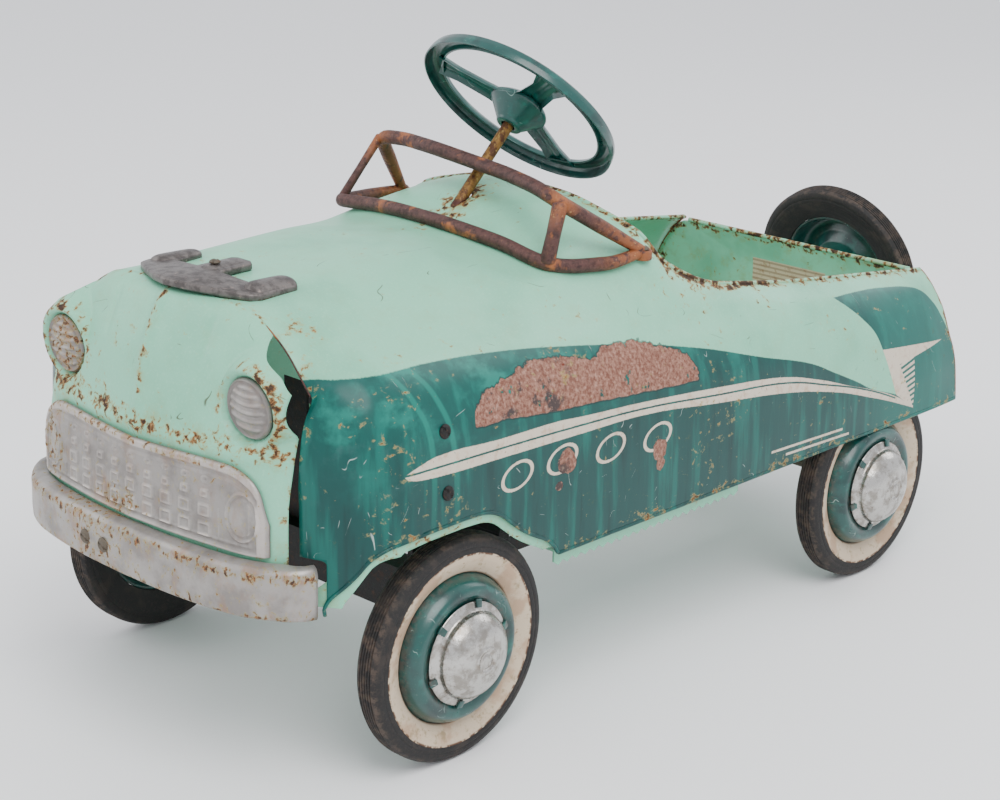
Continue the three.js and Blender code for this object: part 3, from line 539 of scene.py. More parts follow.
SPEAR_SPLIT = [(-374, 280), (-257, 277.5), (-164, 274.5), (-88, 271), (25, 260), (122, 250), (204, 231),
               (267, 213), (325, 191)]
PATCH_TOP = [(-297, 303), (-273, 328), (-241, 333), (-212, 338), (-176, 335), (-136, 327), (-124, 331),
             (-47, 320), (-8, 300), (0, 288)]
PATCH_LOW = [(-297, 303), (-287, 301), (-255, 300), (-233, 297), (-202, 294), (-146, 290), (-71, 284),
             (0, 279)]
RINGS = [(-249, 249), (-192, 250), (-128, 245), (-63, 240)]
WEDGE = [(301, 247), (424, 232.5), (323, 225)]
CHEVRON = [(301, 247), (322, 242), (360, 173), (325, 195)]
HATCH = [(322, 228), (360, 231), (360, 173), (345, 187)]


def painted(name, two_tone):
    """Old mint paint; two_tone adds the teal sides with their cream markings."""
    f = Finish(name)
    wear = f.attribute("wear")
    cloud = f.noise(90, 3)
    fine = f.noise(2.4, 2, seed=3)
    base = f.colour(MINT).under(MINT_DEEP, cloud.rise(0.45, 0.75) * 0.6)
    base = base.under(MINT_PALE, fine.rise(0.5, 0.8) * 0.35)
    grime = f.noise(26, 6, 0.65, seed=8).rise(0.48, 0.72)
    base = base.under(shade(172, 178, 128), grime * (wear * 0.8 + 0.14))
    roughness = cloud * 0.2 + 0.3
    lift = fine * 0.1
    shows = None
    if two_tone:
        ragged = f.noise(1.6, 3, seed=5) - 0.5
        y, z = f.y, f.z + ragged * 1.2
        out = f.x.size().rise(120, 130)
        front = (f.line(y, TEAL_TOP) - z).rise(-0.5, 0.5) * y.rise(325.5, 324.5)
        below = (z.rise(196, 195) * y.rise(322, 323)).most(front)
        tail = (f.line(y, TAIL_TOP) - z).rise(-0.5, 0.5) * (y - f.line(z, TAIL_FRONT)).rise(-0.5, 0.5)
        teal = below.most(tail * z.rise(194, 195)) * out
        streak = f.noise(16, 4, stretch=(1, 1, 9), seed=2)
        high = z.rise(250, 350)
        tone = f.colour(TEAL).under(TEAL_DEEP, streak.rise(0.55, 0.72) * 0.55)
        # lighter teal between the streaks, and a painted highlight: lighter towards the top of the side as if
        # lit from above
        tone = tone.under(TEAL_BRIGHT, (streak.rise(0.52, 0.34) * 0.5 + high * 0.3).least(1.0))
        tone = tone.under(TEAL_BRIGHT, y.rise(250, 330) * 0.55)
        faded = f.noise(34, 5, 0.6, stretch=(1, 1.6, 1), seed=14).rise(0.5, 0.68)
        tone = tone.under(shade(60, 172, 156), faded * high * 0.5)
        dull = f.noise(22, 5, 0.6, seed=17).rise(0.5, 0.72) * z.rise(240, 300) * y.rise(-330, -390)
        tone = tone.under(shade(72, 120, 116), dull * 0.6)
        # two brighter teal lines curving forwards at the front of the side are painted highlights
        for lean in ([(230, -349), (300, -349), (330, -357), (356, -370)],
                     [(230, -322), (300, -325), (330, -333), (356, -348)]):
            arc = (y - f.line(z, lean)).size().rise(4.2, 1.6) * z.rise(175, 330)
            tone = tone.under(shade(0, 156, 140), arc * 0.6)
        white = f.hairlines(34, 0.003, (1, 1, 2.5), seed=6, share=0.6)
        white = white.most(f.hairlines(22, 0.0035, (1, 2.5, 1), seed=11, share=0.63) * z.rise(290, 250))
        nick = f.noise(5, 6, 0.7, seed=13).rise(0.71, 0.74) * f.noise(40, 2, seed=23).rise(0.48, 0.6)
        tone = tone.under(shade(214, 228, 222), white.most(nick * 0.6) * 0.6)
        base = base.under(tone, teal)
        # cream spear, split by a dark line, with its chevron and hatching at the tail
        gap = (z - f.line(y, SPEAR_SPLIT)).size().rise(0.6, 1.2)
        gap = gap.most(y.rise(324, 325))
        spear = (f.line(y, SPEAR_TOP) - z).least(z - f.line(y, SPEAR_LOW)).rise(-0.3, 0.4)
        spear = spear * (y.rise(-380.5, -379.5) * y.rise(361, 360)) * gap
        slots = ((z - y * 0.2) / 6.1).math("FRACT").rise(0.42, 0.5)
        slots = slots * f.inside(y, z, HATCH).rise(-0.2, 0.2)
        cream = f.inside(y, z, WEDGE).most(f.inside(y, z, CHEVRON)).rise(-0.3, 0.3).most(slots).most(spear)
        for ring_y, ring_z in RINGS:
            dy, dz = y - float(ring_y), z - float(ring_z)
            major, minor = dy + dz * 0.22, dz - dy * 0.22
            reach = ((major / 19.0).math("POWER", 2.0) + (minor / 11.5).math("POWER", 2.0)).math("SQRT")
            cream = cream.most((reach - 1.0).size().rise(0.13, 0.09))
        for start, stop, level in ((112, 232, 186), (136, 244, 179)):
            dash = (z - (y * -0.03 + level)).size().rise(1.5, 1.0)
            cream = cream.most(dash * (y.rise(start, start + 1) * y.rise(stop, stop - 1)))
        cream = cream * out * f.noise(2.2, 5, 0.7, seed=31).rise(0.30, 0.36)
        old = f.colour(CREAM).under(shade(206, 176, 150), f.noise(9, 5, 0.6, seed=4).rise(0.5, 0.7) * 0.6)
        old = old.under(shade(150, 110, 66), f.noise(4, 6, 0.7, seed=41).rise(0.62, 0.7) * 0.8)
        base = base.under(old, cream)
        # the large bare patch and the two small chips
        torn = f.noise(13, 6, 0.6, seed=7) * 16.0 - 8.0
        depth = (f.line(y, PATCH_TOP) - f.z + torn).least(f.z - f.line(y, PATCH_LOW) + torn * 0.25)
        depth = depth.least(y + 300.0).least(y * -1.0 - 1.0 + torn)
        patch = depth.rise(0.0, 0.8)
        islands = f.noise(15, 5, 0.6, seed=19, stretch=(1, 0.8, 1)).rise(0.63, 0.645)
        patch = patch * islands.flipped()
        for chip_y, chip_z, reach in ((-186, 246, 12), (-60, 227, 10), (-196, 226, 5), (-58, 214, 6)):
            dy, dz = y - float(chip_y), f.z - float(chip_z)
            away = (dy.math("POWER", 2.0) + dz.math("POWER", 2.0)).math("SQRT")
            patch = patch.most((away * -1.0 + float(reach) + torn * 0.6).rise(0.0, 0.7))
        patch = patch * out
        grain = f.noise(3.2, 8, 0.7, seed=21)
        bare = f.colour(BARE).under(shade(140, 98, 84), grain.rise(0.42, 0.62))
        sooty = f.noise(22, 6, 0.65, seed=22).rise(0.52, 0.6) * y.rise(-150, -200)
        bare = bare.under(shade(96, 84, 82), sooty)
        bare = bare.under(shade(206, 176, 160), grain.rise(0.46, 0.3) * 0.7)
        bare = bare.under(shade(132, 60, 40), f.noise(7, 6, 0.7, seed=25).rise(0.66, 0.7))
        base = base.under(shade(28, 60, 58), (depth.size().rise(1.3, 0.5) * 0.7) * out)
        base = base.under(bare, patch)
        stain = f.noise(9, 8, 0.7, seed=28).rise(0.6, 0.68) * z.rise(262, 240) * z.rise(170, 215)
        base = base.under(shade(84, 104, 80), stain * 0.6 * out)
        shows = patch
        lift = lift - patch * 1.0
        wear = wear * (teal * -0.35 + 1.0)
    spread = f.noise(70, 3, 0.5, seed=33).rise(0.4, 0.7) * 0.09
    base, rust = f.rust(base, wear * 0.25 + spread - 0.03, 7.0, 1.0, (1, 1.3, 1))
    flecks = f.noise(5, 7, 0.7, (1, 2.2, 1), seed=51).rise(0.705, 0.73)
    if two_tone:
        flecks = flecks * (teal * -0.75 + 1.0)
    base = base.under(shade(118, 92, 44), flecks * 0.85)
    cuts = f.hairlines(44, 0.004, (1, 2, 1), seed=61, share=0.6)
    if two_tone:
        cuts = cuts * teal.flipped()
    base = base.under(shade(104, 84, 48), cuts * 0.8)
    cover = rust.most(flecks)
    if shows is not None:
        cover = cover.most(shows)
    roughness = roughness + cover * 0.4
    return f.done(base, roughness, 0.0, lift - cover * 0.5, 0.35, coat_weight=0.06, coat_roughness=0.25,
                  specular_ior_level=0.3)


def fine_lift(f):
    """Height of the grain that all old paint has."""
    return f.noise(1.4, 3, seed=77) * 0.4


def old_silver():
    """Silver paint of bumper, grille and lamps: a painted highlight where raised and painted shade where low,
    rusty where worn.
    """
    f = Finish("old_silver_paint")
    wear, raised = f.attribute("wear"), f.attribute("raised")
    cloud = f.noise(30, 5, 0.6)
    base = f.colour(SILVER).under(shade(148, 142, 138), cloud.rise(0.42, 0.66) * 0.7)
    # painted highlight on the raised relief and painted shade on the low ground
    base = base.under(shade(222, 214, 208), raised.rise(0.4, 1.0) * 0.7)
    base = base.under(shade(112, 104, 100), raised.rise(0.25, 0.0) * 0.45)
    stain = f.noise(18, 7, 0.66, (1, 1, 1.5), seed=4).rise(0.48, 0.66)
    base = base.under(shade(176, 142, 116), stain * (wear * 0.75 + 0.1))
    base, rust = f.rust(base, wear * 0.17 + 0.0, 5.0, 2.0, (1, 1, 1.3))
    pits = f.noise(2.2, 6, 0.7, seed=6).rise(0.66, 0.72)
    base = base.under(shade(92, 62, 46), pits * 0.7)
    cover = rust.most(pits)
    return f.done(base, cloud * 0.25 + 0.3 + cover * 0.3, cover.flipped() * 0.45, fine_lift(f) - cover, 0.3)


def rusted_tube():
    """Purple-brown rust of the windscreen frame."""
    f = Finish("rusted_tube")
    wear = f.attribute("wear")
    grain = f.noise(6, 8, 0.7)
    base = f.colour(shade(112, 78, 72)).under(shade(84, 56, 52), grain.rise(0.45, 0.62))
    base = base.under(shade(140, 104, 92), f.noise(3, 6, 0.7, seed=2).rise(0.55, 0.7) * 0.6)
    warm = f.noise(24, 5, 0.6, seed=3).rise(0.56, 0.66).most(wear * f.noise(7, 5, seed=4).rise(0.36, 0.52))
    base = base.under(shade(190, 126, 78), warm * 0.85)
    base = base.under(shade(214, 176, 128), f.noise(3, 5, 0.6, seed=5).rise(0.6, 0.68) * (wear * 0.7 + 0.1))
    base = base.under(shade(52, 36, 32), f.noise(4, 6, 0.7, seed=6).rise(0.62, 0.7) * 0.7)
    return f.done(base, grain * 0.3 + 0.42, 0.25, f.noise(2.5, 8, 0.75, seed=9), 0.5)


def worn_shaft():
    """Yellow-brown steel of the steering shaft, redder at the bonnet."""
    f = Finish("rusty_shaft")
    grain = f.noise(7, 8, 0.7, (1, 1, 1.6))
    base = f.colour(shade(158, 124, 66)).under(shade(108, 72, 40), grain.rise(0.44, 0.58))
    base = base.under(shade(196, 172, 108), f.noise(4, 6, 0.7, seed=2).rise(0.56, 0.66) * 0.8)
    base = base.under(shade(96, 52, 36), f.z.rise(432, 424) * f.noise(4, 5, seed=5).rise(0.3, 0.5))
    return f.done(base, grain * 0.3 + 0.35, 0.45, f.noise(2.2, 7, 0.75, seed=9), 0.4)


def grey_casting():
    """Dull grey metal of the hood ornament."""
    f = Finish("grey_casting")
    grain = f.noise(9, 7, 0.65)
    base = f.colour(shade(140, 134, 131)).under(shade(112, 106, 104), grain.rise(0.42, 0.62))
    base = base.under(shade(176, 160, 152), f.noise(5, 6, 0.7, seed=3).rise(0.58, 0.68) * 0.7)
    base = base.under(shade(128, 84, 62), f.noise(6, 7, 0.7, seed=5).rise(0.68, 0.74) * 0.6)
    low = f.z.rise(403, 400)
    base = base.under(shade(120, 72, 46), low * f.noise(5, 6, seed=8).rise(0.4, 0.55) * 0.8)
    return f.done(base, grain * 0.25 + 0.3, 0.65, f.noise(1.8, 6, 0.7, seed=9), 0.25)


def wheel_teal():
    """Glossy enamel of wheels and steering wheel, brown where worn."""
    f = Finish("teal_enamel", local=True)
    wear = f.attribute("wear")
    cloud = f.noise(28, 4)
    base = f.colour(shade(0, 100, 94)).under(TEAL_DEEP, cloud.rise(0.46, 0.68) * 0.8)
    base = base.under(shade(20, 140, 128), f.noise(12, 4, seed=6).rise(0.55, 0.7) * 0.4)
    worn = wear * f.noise(6, 7, 0.7, seed=3).rise(0.42, 0.56)
    base = base.under(shade(118, 96, 86), worn * 0.85)
    base = base.under(shade(58, 38, 28), wear * f.noise(5, 7, 0.7, seed=8).rise(0.6, 0.66))
    dust = f.noise(3, 7, 0.75, seed=5).rise(0.6, 0.68)
    base = base.under(shade(130, 152, 140), dust * 0.5)
    base = base.under(shade(190, 214, 206), f.hairlines(20, 0.006, seed=7, share=0.6) * 0.6)
    return f.done(base, cloud * 0.15 + 0.22 + worn * 0.3, 0.0, fine_lift(f) - worn * 0.6, 0.25,
                  coat_weight=0.3, coat_roughness=0.15)


def tyre_rubber():
    """Black rubber with a stained white band."""
    f = Finish("old_tyre_rubber", local=True)
    radius = ((f.x.math("POWER", 2.0)) + (f.y.math("POWER", 2.0))).math("SQRT")
    wobble = f.noise(14, 3, seed=2) * 1.6 - 0.8
    white = radius + wobble * 0.6
    white = white.rise(86.8, 86.2) * white.rise(66.4, 67.0) * f.z.rise(3, 4)
    grain = f.noise(2.5, 7, 0.7)
    black = f.colour(shade(38, 35, 34)).under(shade(66, 58, 54), grain.rise(0.46, 0.66))
    dust = f.noise(9, 7, 0.7, seed=3).rise(0.45, 0.62) * radius.rise(96, 100.5)
    black = black.under(shade(112, 96, 84), dust * 0.75)
    black = black.under(shade(84, 72, 64), f.noise(20, 5, seed=5).rise(0.5, 0.66) * 0.5)
    yellowed = f.noise(26, 5, seed=6).rise(0.46, 0.62) * 0.8
    band = f.colour(shade(222, 206, 184)).under(shade(200, 172, 146), yellowed)
    band = band.under(shade(176, 158, 124), f.noise(11, 7, 0.7, seed=7).rise(0.54, 0.68) * 0.8)
    band = band.under(shade(150, 98, 60), f.noise(7, 8, 0.72, seed=8).rise(0.61, 0.68) * 0.85)
    edge_dirt = (radius - 86.2).size().rise(2.0, 0.4) * f.noise(5, 6, seed=9).rise(0.4, 0.55)
    band = band.under(shade(120, 86, 62), edge_dirt)
    band = band.under(shade(110, 86, 66), (radius - 67.6).size().rise(1.8, 0.3) * 0.7)
    colour = black.under(band, white)
    return f.done(colour, grain * 0.2 + 0.62, 0.0, grain + f.noise(7, 4, seed=12) * 0.6, 0.35)


def pitted_chrome():
    """Chrome of the hubcaps, clouded and pitted."""
    f = Finish("pitted_chrome", local=True)
    cloud = f.noise(14, 6, 0.65)
    base = f.colour(shade(214, 212, 208)).under(shade(166, 160, 152), cloud.rise(0.44, 0.62) * 0.8)
    pits = f.noise(1.9, 6, 0.75, seed=3).rise(0.61, 0.68)
    base = base.under(shade(96, 82, 74), pits * 0.75)
    spot = f.noise(7, 7, 0.7, seed=6).rise(0.7, 0.73)
    base = base.under(shade(122, 62, 44), spot)
    base = base.under(shade(140, 122, 98), f.attribute("wear") * f.noise(5, 6, seed=8).rise(0.42, 0.6) * 0.8)
    rough = cloud * 0.35 + 0.08 + pits * 0.3 + spot * 0.4
    return f.done(base, rough, (pits.most(spot) * -0.6) + 0.95, f.noise(3, 6, 0.7, seed=9) - pits * 0.8, 0.15)


def dark_steel(name, base_colour, rust_colour, metallic=0.3):
    """Steel with rust and soot."""
    f = Finish(name)
    grain = f.noise(9, 8, 0.7)
    base = f.colour(base_colour).under(rust_colour, grain.rise(0.5, 0.64) * 0.75)
    base = base.under(shade(132, 100, 72), f.noise(5, 7, 0.7, seed=4).rise(0.6, 0.68) * 0.6)
    base = base.under(shade(20, 18, 17), f.noise(16, 5, seed=7).rise(0.55, 0.7) * 0.5)
    return f.done(base, grain * 0.3 + 0.45, metallic, f.noise(2.4, 8, 0.75, seed=9), 0.35)


def pedal_rubber():
    """Grooved rubber of the pedal blocks."""
    f = Finish("worn_pedal_rubber")
    grain = f.noise(3, 7, 0.7)
    base = f.colour(shade(34, 32, 31)).under(shade(92, 82, 74), grain.rise(0.52, 0.7) * 0.6)
    groove = (f.z / 7.0).math("FRACT").rise(0.15, 0.3)
    # the darker groove bottoms are painted shade
    return f.done(base.under(shade(16, 15, 15), groove.flipped() * 0.8), 0.8, 0.0, groove + grain * 0.3, 1.2)


BODY_PAINT = painted("two_tone_paint", True)
MINT_PAINT = painted("mint_paint", False)
SILVER_PAINT = old_silver()
RUSTED = rusted_tube()
SHAFT = worn_shaft()
CASTING = grey_casting()
ENAMEL = wheel_teal()
RUBBER = tyre_rubber()
CHROME = pitted_chrome()
BLACK_STEEL = dark_steel("sooty_black_steel", shade(38, 35, 33), shade(84, 56, 40))
BOLT_STEEL = dark_steel("greased_bolt_steel", shade(128, 120, 108), shade(116, 72, 46), 0.6)
PEDAL = pedal_rubber()

# ---------------------------------------------------------------- body skin
# Half cross-sections, one row for each place along Y: place, height of the crown and of the bonnet, then
# across and up for bonnet edge, fold, ledge, shoulder, upper side and side, then across for lower side and
# bottom edge.
BONNET_X, LOWER_SIDE_Z, BODY_BOTTOM = 60, 205, 163
BODY_SECTIONS = [
    (-441, 398, 394, (92, 388), (128, 350), (150, 300), (155, 292), (158, 282), (161, 262), 162, 162),
    (-437, 400, 397, (92, 391), (128, 362), (155, 322), (162, 310), (169, 296), (173, 270), 175, 175),
    (-428, 402, 400, (92, 396), (128, 374), (158, 338), (166, 335), (180, 316), (187, 285), 190, 190),
    (-418, 403, 401, (94, 396), (129, 376), (158, 356), (174, 348), (190, 328), (200, 292), 203, 203),
    (-407, 404, 402, (97, 395), (130, 377), (159, 364), (180, 353), (198, 334), (209, 296), 212, 212),
    (-395, 405, 403, (100, 394), (132, 378), (160, 367), (185, 356), (203, 336), (214, 298), 218, 218),
    (-369, 406, 404, (104, 393), (134, 380), (162, 369), (188, 357), (206, 337), (218, 298), 222, 222),
    (-225, 410, 407, (112, 396), (148, 376), (168, 363), (191, 348), (207, 327), (218, 290), 222, 222),
    (-140, 408, 404, (136, 389), (160, 370), (175, 357), (192, 342), (207, 320), (218, 284), 222, 222),
    (-100, 425, 420, (124, 401), (147, 383), (172, 360), (192, 339), (207, 317), (218, 281), 222, 222),
    (-70, 433, 428, (120, 406), (147, 385), (174, 360), (193, 336), (207, 314), (218, 279), 222, 222),
    (-35, 435, 430, (122, 408), (150, 388), (176, 357), (193, 333), (207, 311), (218, 277), 222, 222),
    (-8, 430, 427, (126, 411), (152, 395), (178, 354), (192, 331), (207, 309), (218, 275), 222, 222),
    (10, 430, 428, (124, 412), (156, 380), (180, 349), (192, 328), (207, 306), (218, 273), 222, 222),
    (44, 395, 392, (135, 378), (165, 359), (181, 341), (191, 326), (206, 304), (218, 271), 222, 222),
    (80, 355, 355, (140, 352), (166, 347), (181, 336), (191, 323), (206, 301), (218, 268), 222, 222),
    (190, 332, 332, (140, 331), (165, 328), (181, 320), (191, 312), (206, 290), (217, 260), 222, 222),
    (310, 316, 316, (140, 315), (165, 313), (180, 306), (190, 299), (205, 279), (216, 252), 222, 222),
    (400, 305, 305, (140, 304), (164, 302), (178, 295), (188, 287), (200, 268), (211, 242), 220, 222),
    (448, 298, 298, (140, 298), (162, 296), (174, 287), (184, 275), (194, 260), (204, 236), 215, 220),
]
BODY_FRONT, BODY_REAR = -441, 448
NOSE_SEAM, NOSE_HALF_WIDTH, NOSE_GAP = -425, 158, 2.5
SPAN_STEPS = [13, 10, 9, 7, 6, 7, 10, 18, 10]


def section_corners(crown, bonnet, *rest):
    """All corners of one row of BODY_SECTIONS, as one flat list."""
    *middle, lower_side, bottom = rest
    low = [(lower_side, LOWER_SIDE_Z), (bottom, BODY_BOTTOM)]
    return np.ravel([(0, crown), (BONNET_X, bonnet), *middle, *low])


def half_sections(places):
    """Fine half-sections of the skin: (place, point, x and z)."""
    corners = [section_corners(*row[1:]) for row in BODY_SECTIONS]
    return fine_rows([row[0] for row in BODY_SECTIONS], corners, places, SPAN_STEPS)


def body_grid(depth=0.0):
    """The whole skin before its openings are cut, moved inwards by a depth."""
    places = np.r_[np.linspace(BODY_FRONT, -395, 40)[:-1], np.linspace(-395, BODY_REAR, 195)]
    half = half_sections(places)
    if depth:
        run = unit(np.gradient(half, axis=1))
        half = half + np.stack([run[..., 1], -run[..., 0]], axis=-1) * depth
    lines = []
    for y, end in zip(places, half):
        right = np.column_stack([end[:, 0], np.full(len(end), y), end[:, 1]])
        lines.append(np.vstack([right[::-1] * (-1, 1, 1), right[1:]]))
    return grid(np.array(lines))


COCKPIT_FLOOR = 240
BUMPER_ROOM_X, BUMPER_ROOM_Y, BUMPER_ROOM_Z = 189.5, -432, 212
SHAFT_HOLE_RADIUS = 6.2
COCKPIT_HALF = [[60, -9], [120, -8], [143, -5], [152, 2], [157, 12], [164.5, 44], [165.5, 80], [164.5, 190],
                [164, 310], [161, 470]]
COCKPIT = np.array([[0, -9], *COCKPIT_HALF, *[[-x, y] for x, y in COCKPIT_HALF[::-1]]], float)
ARCH = rounded([[-433, 140], [-433, 175], [-420, 196], [-409, 214], [-396, 222], [-353, 226], [-312, 227],
                [-287, 226], [-271, 221], [-242, 198], [-225, 188], [-208, 180], [-196, 168], [-190, 140]], 9)


def outside_nose(points):
    return np.maximum(np.abs(points[:, 0]) - NOSE_HALF_WIDTH - NOSE_GAP, points[:, 1] - NOSE_SEAM)


def outside_bumper(points):
    across = np.abs(points[:, 0]) - BUMPER_ROOM_X
    return np.maximum(np.maximum(across, points[:, 1] - BUMPER_ROOM_Y), points[:, 2] - BUMPER_ROOM_Z)


def outside_cockpit(points):
    return np.maximum(outside(points[:, :2], COCKPIT), COCKPIT_FLOOR - points[:, 2])


def outside_arch(points):
    return outside(points[:, 1:], ARCH)


def off_column(points):
    offset = points - WHEEL_HUB
    away = np.linalg.norm(offset - np.outer(offset @ COLUMN_AXIS, COLUMN_AXIS), axis=1)
    return np.where(points[:, 2] > 380, away - SHAFT_HOLE_RADIUS, 50)


def body_wear(points):
    """How much an area of the skin has rusted: rims, seams, lower edges and round the lamps."""
    rim = bump(np.minimum(outside_cockpit(points), 60), 16)
    seam = bump(outside_nose(points), 14) * 0.55
    low = bump(points[:, 2] - BODY_BOTTOM, 16) * 0.75
    arch = bump(outside_arch(points), 9) * 0.5
    rear = bump(BODY_REAR - points[:, 1], 10) * 0.9
    post = bump(off_column(points), 26)
    hood = bump(np.linalg.norm(points - (118, -405, 388), axis=1), 34) * 0.6
    return np.clip(np.maximum.reduce([rim, seam, low, arch, rear, post, hood]), 0, 1)


skin = body_grid()
for cut_out in (outside_nose, outside_bumper, outside_cockpit, outside_arch, off_column):
    skin = clip(skin, cut_out)
piece("body_skin", skin, "chassis", (BODY_PAINT, MINT_PAINT), ["body_shell"], wall=1.6,
      fields={"wear": body_wear}, turned=False)


def skin_height(x, y):
    """Height of the skin at places seen from above."""
    half = half_sections(np.atleast_1d(y))
    return np.array([np.interp(abs(a), row[:, 0], row[:, 1]) for a, row in zip(np.atleast_1d(x), half)])


def skin_reach(y, z):
    """Half-width of the skin at places seen from the side."""
    half = half_sections(np.atleast_1d(y))
    return np.array([np.interp(-b, -row[30:, 1], row[30:, 0]) for b, row in zip(np.atleast_1d(z), half)])


def even_wear(amount):
    return {"wear": lambda points: np.full(len(points), amount)}


full_wear = even_wear(0.85)
rim_line = rounded(COCKPIT_HALF[:-1] + [[162.3, 446]], 12)
rim_route = np.column_stack([rim_line, skin_height(rim_line[:, 0], rim_line[:, 1]) - 0.6])
rim_route = np.vstack([rim_route[::-1], [[0, -9, skin_height(0, -9)[0] - 0.6]], rim_route * (-1, 1, 1)])
piece("cockpit_rim", tube(flowing(rim_route, 5), 2.5, 12), "chassis", MINT_PAINT,
      fields=full_wear)

for side_name, side in SIDES:
    edge = [[-432.5, 163.6], *ARCH[(ARCH[:, 1] > 166)], [-194.5, 164]]
    edge = np.array(edge)
    route = np.column_stack([skin_reach(edge[:, 0], edge[:, 1]) - 0.8, edge])
    piece(f"arch_hem_{side_name}", sided(tube(route, 1.7, 10), side), "chassis", BODY_PAINT,
          fields=even_wear(0.5))
    low_y = np.linspace(-194, 446, 90)
    route = np.column_stack([skin_reach(low_y, low_y * 0 + 163.5) - 0.8, low_y, low_y * 0 + 163.6])
    piece(f"lower_hem_{side_name}", sided(tube(route, 1.8, 10), side), "chassis", BODY_PAINT,
          fields=even_wear(0.6))

# A mint strip stiffens the wheel opening from inside and shows below its edge.
lip = clip(body_grid(3.0), lambda p: outside_arch(p) + 9 + 2.5 * np.sin(p[:, 1] / 9) * (p[:, 1] < -380))
lip = clip(lip, lambda p: 8 - outside_arch(p))
lip = clip(lip, lambda p: p[:, 2] - 171)
lip = clip(lip, lambda p: 290 - p[:, 2])
for side_name, side in SIDES:
    half = clip(lip, lambda p: side * p[:, 0] - 100)
    piece(f"arch_lip_{side_name}", half, "chassis", MINT_PAINT, wall=1.2, turned=False,
          fields=even_wear(0.35))

# ---------------------------------------------------------------- nose
# Front profiles of the nose, (y, z) from the bonnet seam down, one row for each distance from the middle.
NOSE_PROFILES = [
    (0, (-425, 403), (-444, 400), (-458, 378), (-468, 354), (-474, 325), (-479, 290), (-482, 250),
     (-482, 165)),
    (50, (-425, 401.5), (-440, 396), (-452, 375), (-462, 352), (-469, 325), (-475, 290),
     (-479, 250), (-479, 165)),
    (92, (-425, 397), (-438, 388), (-447, 370), (-456, 348), (-462, 322), (-469, 290),
     (-474, 250), (-474, 165)),
    (128, (-425, 375), (-436, 369), (-443, 358), (-450, 342), (-456, 318), (-463, 288),
     (-468, 250), (-468, 165)),
    (148, (-425, 363), (-432, 358), (-438, 350), (-443, 335), (-448, 315), (-455, 285),
     (-460, 250), (-460, 165)),
    (NOSE_HALF_WIDTH, (-425, 350), (-427, 345), (-430, 337), (-433, 326), (-438, 310),
     (-444, 283), (-449, 250), (-449, 165)),
]
NOSE_SPAN_STEPS = [7, 9, 9, 10, 12, 13, 28]
LAMP = np.array([121.5, -456, 331.0])
LAMP_AIM = unit([0.023, -1, -0.084])
LAMP_RADIUS = 26.4


def nose_lines(distances):
    """Fine front profiles: (distance, point, y and z)."""
    corners = [row[1:] for row in NOSE_PROFILES]
    return fine_rows([row[0] for row in NOSE_PROFILES], corners, distances, NOSE_SPAN_STEPS)


def nose_front(x, z):
    lines = nose_lines(np.abs(np.ravel(x)))
    found = [np.interp(-b, -row[:, 1], row[:, 0]) for b, row in zip(np.ravel(z), lines)]
    return np.array(found).reshape(np.shape(x))


def lamp_distance(points):
    """Distance from the lamp's axis and height above its face, on either side of the car."""
    offset = np.column_stack([np.abs(points[:, 0]), points[:, 1:]]) - LAMP
    height = offset @ LAMP_AIM
    return np.linalg.norm(offset - np.outer(height, LAMP_AIM), axis=1), height


def nose_skin():
    reach = np.r_[np.linspace(0, 146, 60)[:-1], np.linspace(146, NOSE_HALF_WIDTH, 9)]
    lines = nose_lines(reach)
    across = np.repeat(reach[:, None], lines.shape[1], axis=1)
    left = np.stack([across, lines[..., 0], lines[..., 1]], axis=-1)
    points = np.vstack([(left * (-1, 1, 1))[::-1], left[1:]])
    shape = points.shape
    flat = points.reshape(-1, 3).copy()
    # raised oval bezels with a shelf for the lamps
    away, height = lamp_distance(flat)
    target = np.interp(away, [0, 26.6, 28, 31, 34, 39, 50], [-1.2, -1.2, 1.2, 4.2, 3.2, -8, -30])
    lift = np.clip(target - height, 0, 30) * (away < 50)
    sink = np.clip(height - target, 0, 30) * (away < 29)
    flat += (lift - sink)[:, None] * LAMP_AIM * np.sign(flat[:, :1] + 1e-9) ** np.array([[1, 0, 0]])
    # centre crease, two short side creases and a soft roll above the grille
    x, z = np.abs(flat[:, 0]), flat[:, 2]
    flat[:, 1] -= bump(x, 9) * np.interp(z, [300, 335, 380], [0, 1.2, 2.2])
    flat[:, 1] += bump(x - 62, 5) * np.interp(z, [350, 362, 388, 396], [0, 1.4, 1.4, 0])
    flat[:, 1] -= bump(z - 292, 9) * np.interp(x, [0, 120, 160], [2.0, 2.0, 0])
    return grid(flat.reshape(shape))


def nose_wear(points):
    away = lamp_distance(points)[0]
    ring = bump(away - 34, 8) * (0.55 + 0.45 * (np.abs(points[:, 0]) > 120))
    seam = bump(np.minimum(np.abs(points[:, 1] - NOSE_SEAM), NOSE_HALF_WIDTH - np.abs(points[:, 0])), 9) * 0.5
    brow = bump(points[:, 2] - 296, 20) * 0.75
    crease = bump(points[:, 0], 7) * (points[:, 2] > 318) * 0.9
    corner = bump(np.linalg.norm(points[:, [0, 2]] - (-118, 300), axis=1), 34) * 0.9
    return np.clip(np.maximum.reduce([ring, seam, brow, crease, corner]), 0, 1)


piece("nose_skin", nose_skin(), "chassis", MINT_PAINT, ["nose_panel"], wall=1.6,
      fields={"wear": nose_wear})

# thin rusty seam where the nose and the hood meet
seam_x = np.linspace(0, NOSE_HALF_WIDTH, 60)
seam_z = np.interp(seam_x, *half_sections([NOSE_SEAM])[0][:60].T) - 1.3
seam_line = np.column_stack([seam_x, seam_x * 0 + NOSE_SEAM - 0.1, seam_z])
seam_line = np.vstack([seam_line[::-1], seam_line[1:] * (-1, 1, 1)])
piece("nose_seam", tube(seam_line, 0.8, 8), "chassis", RUSTED)

# ---------------------------------------------------------------- grille
GRILLE_TOP = [[0, 283], [108, 284], [128, 279], [142, 266], [150, 240]]
GRILLE_LOW = 213


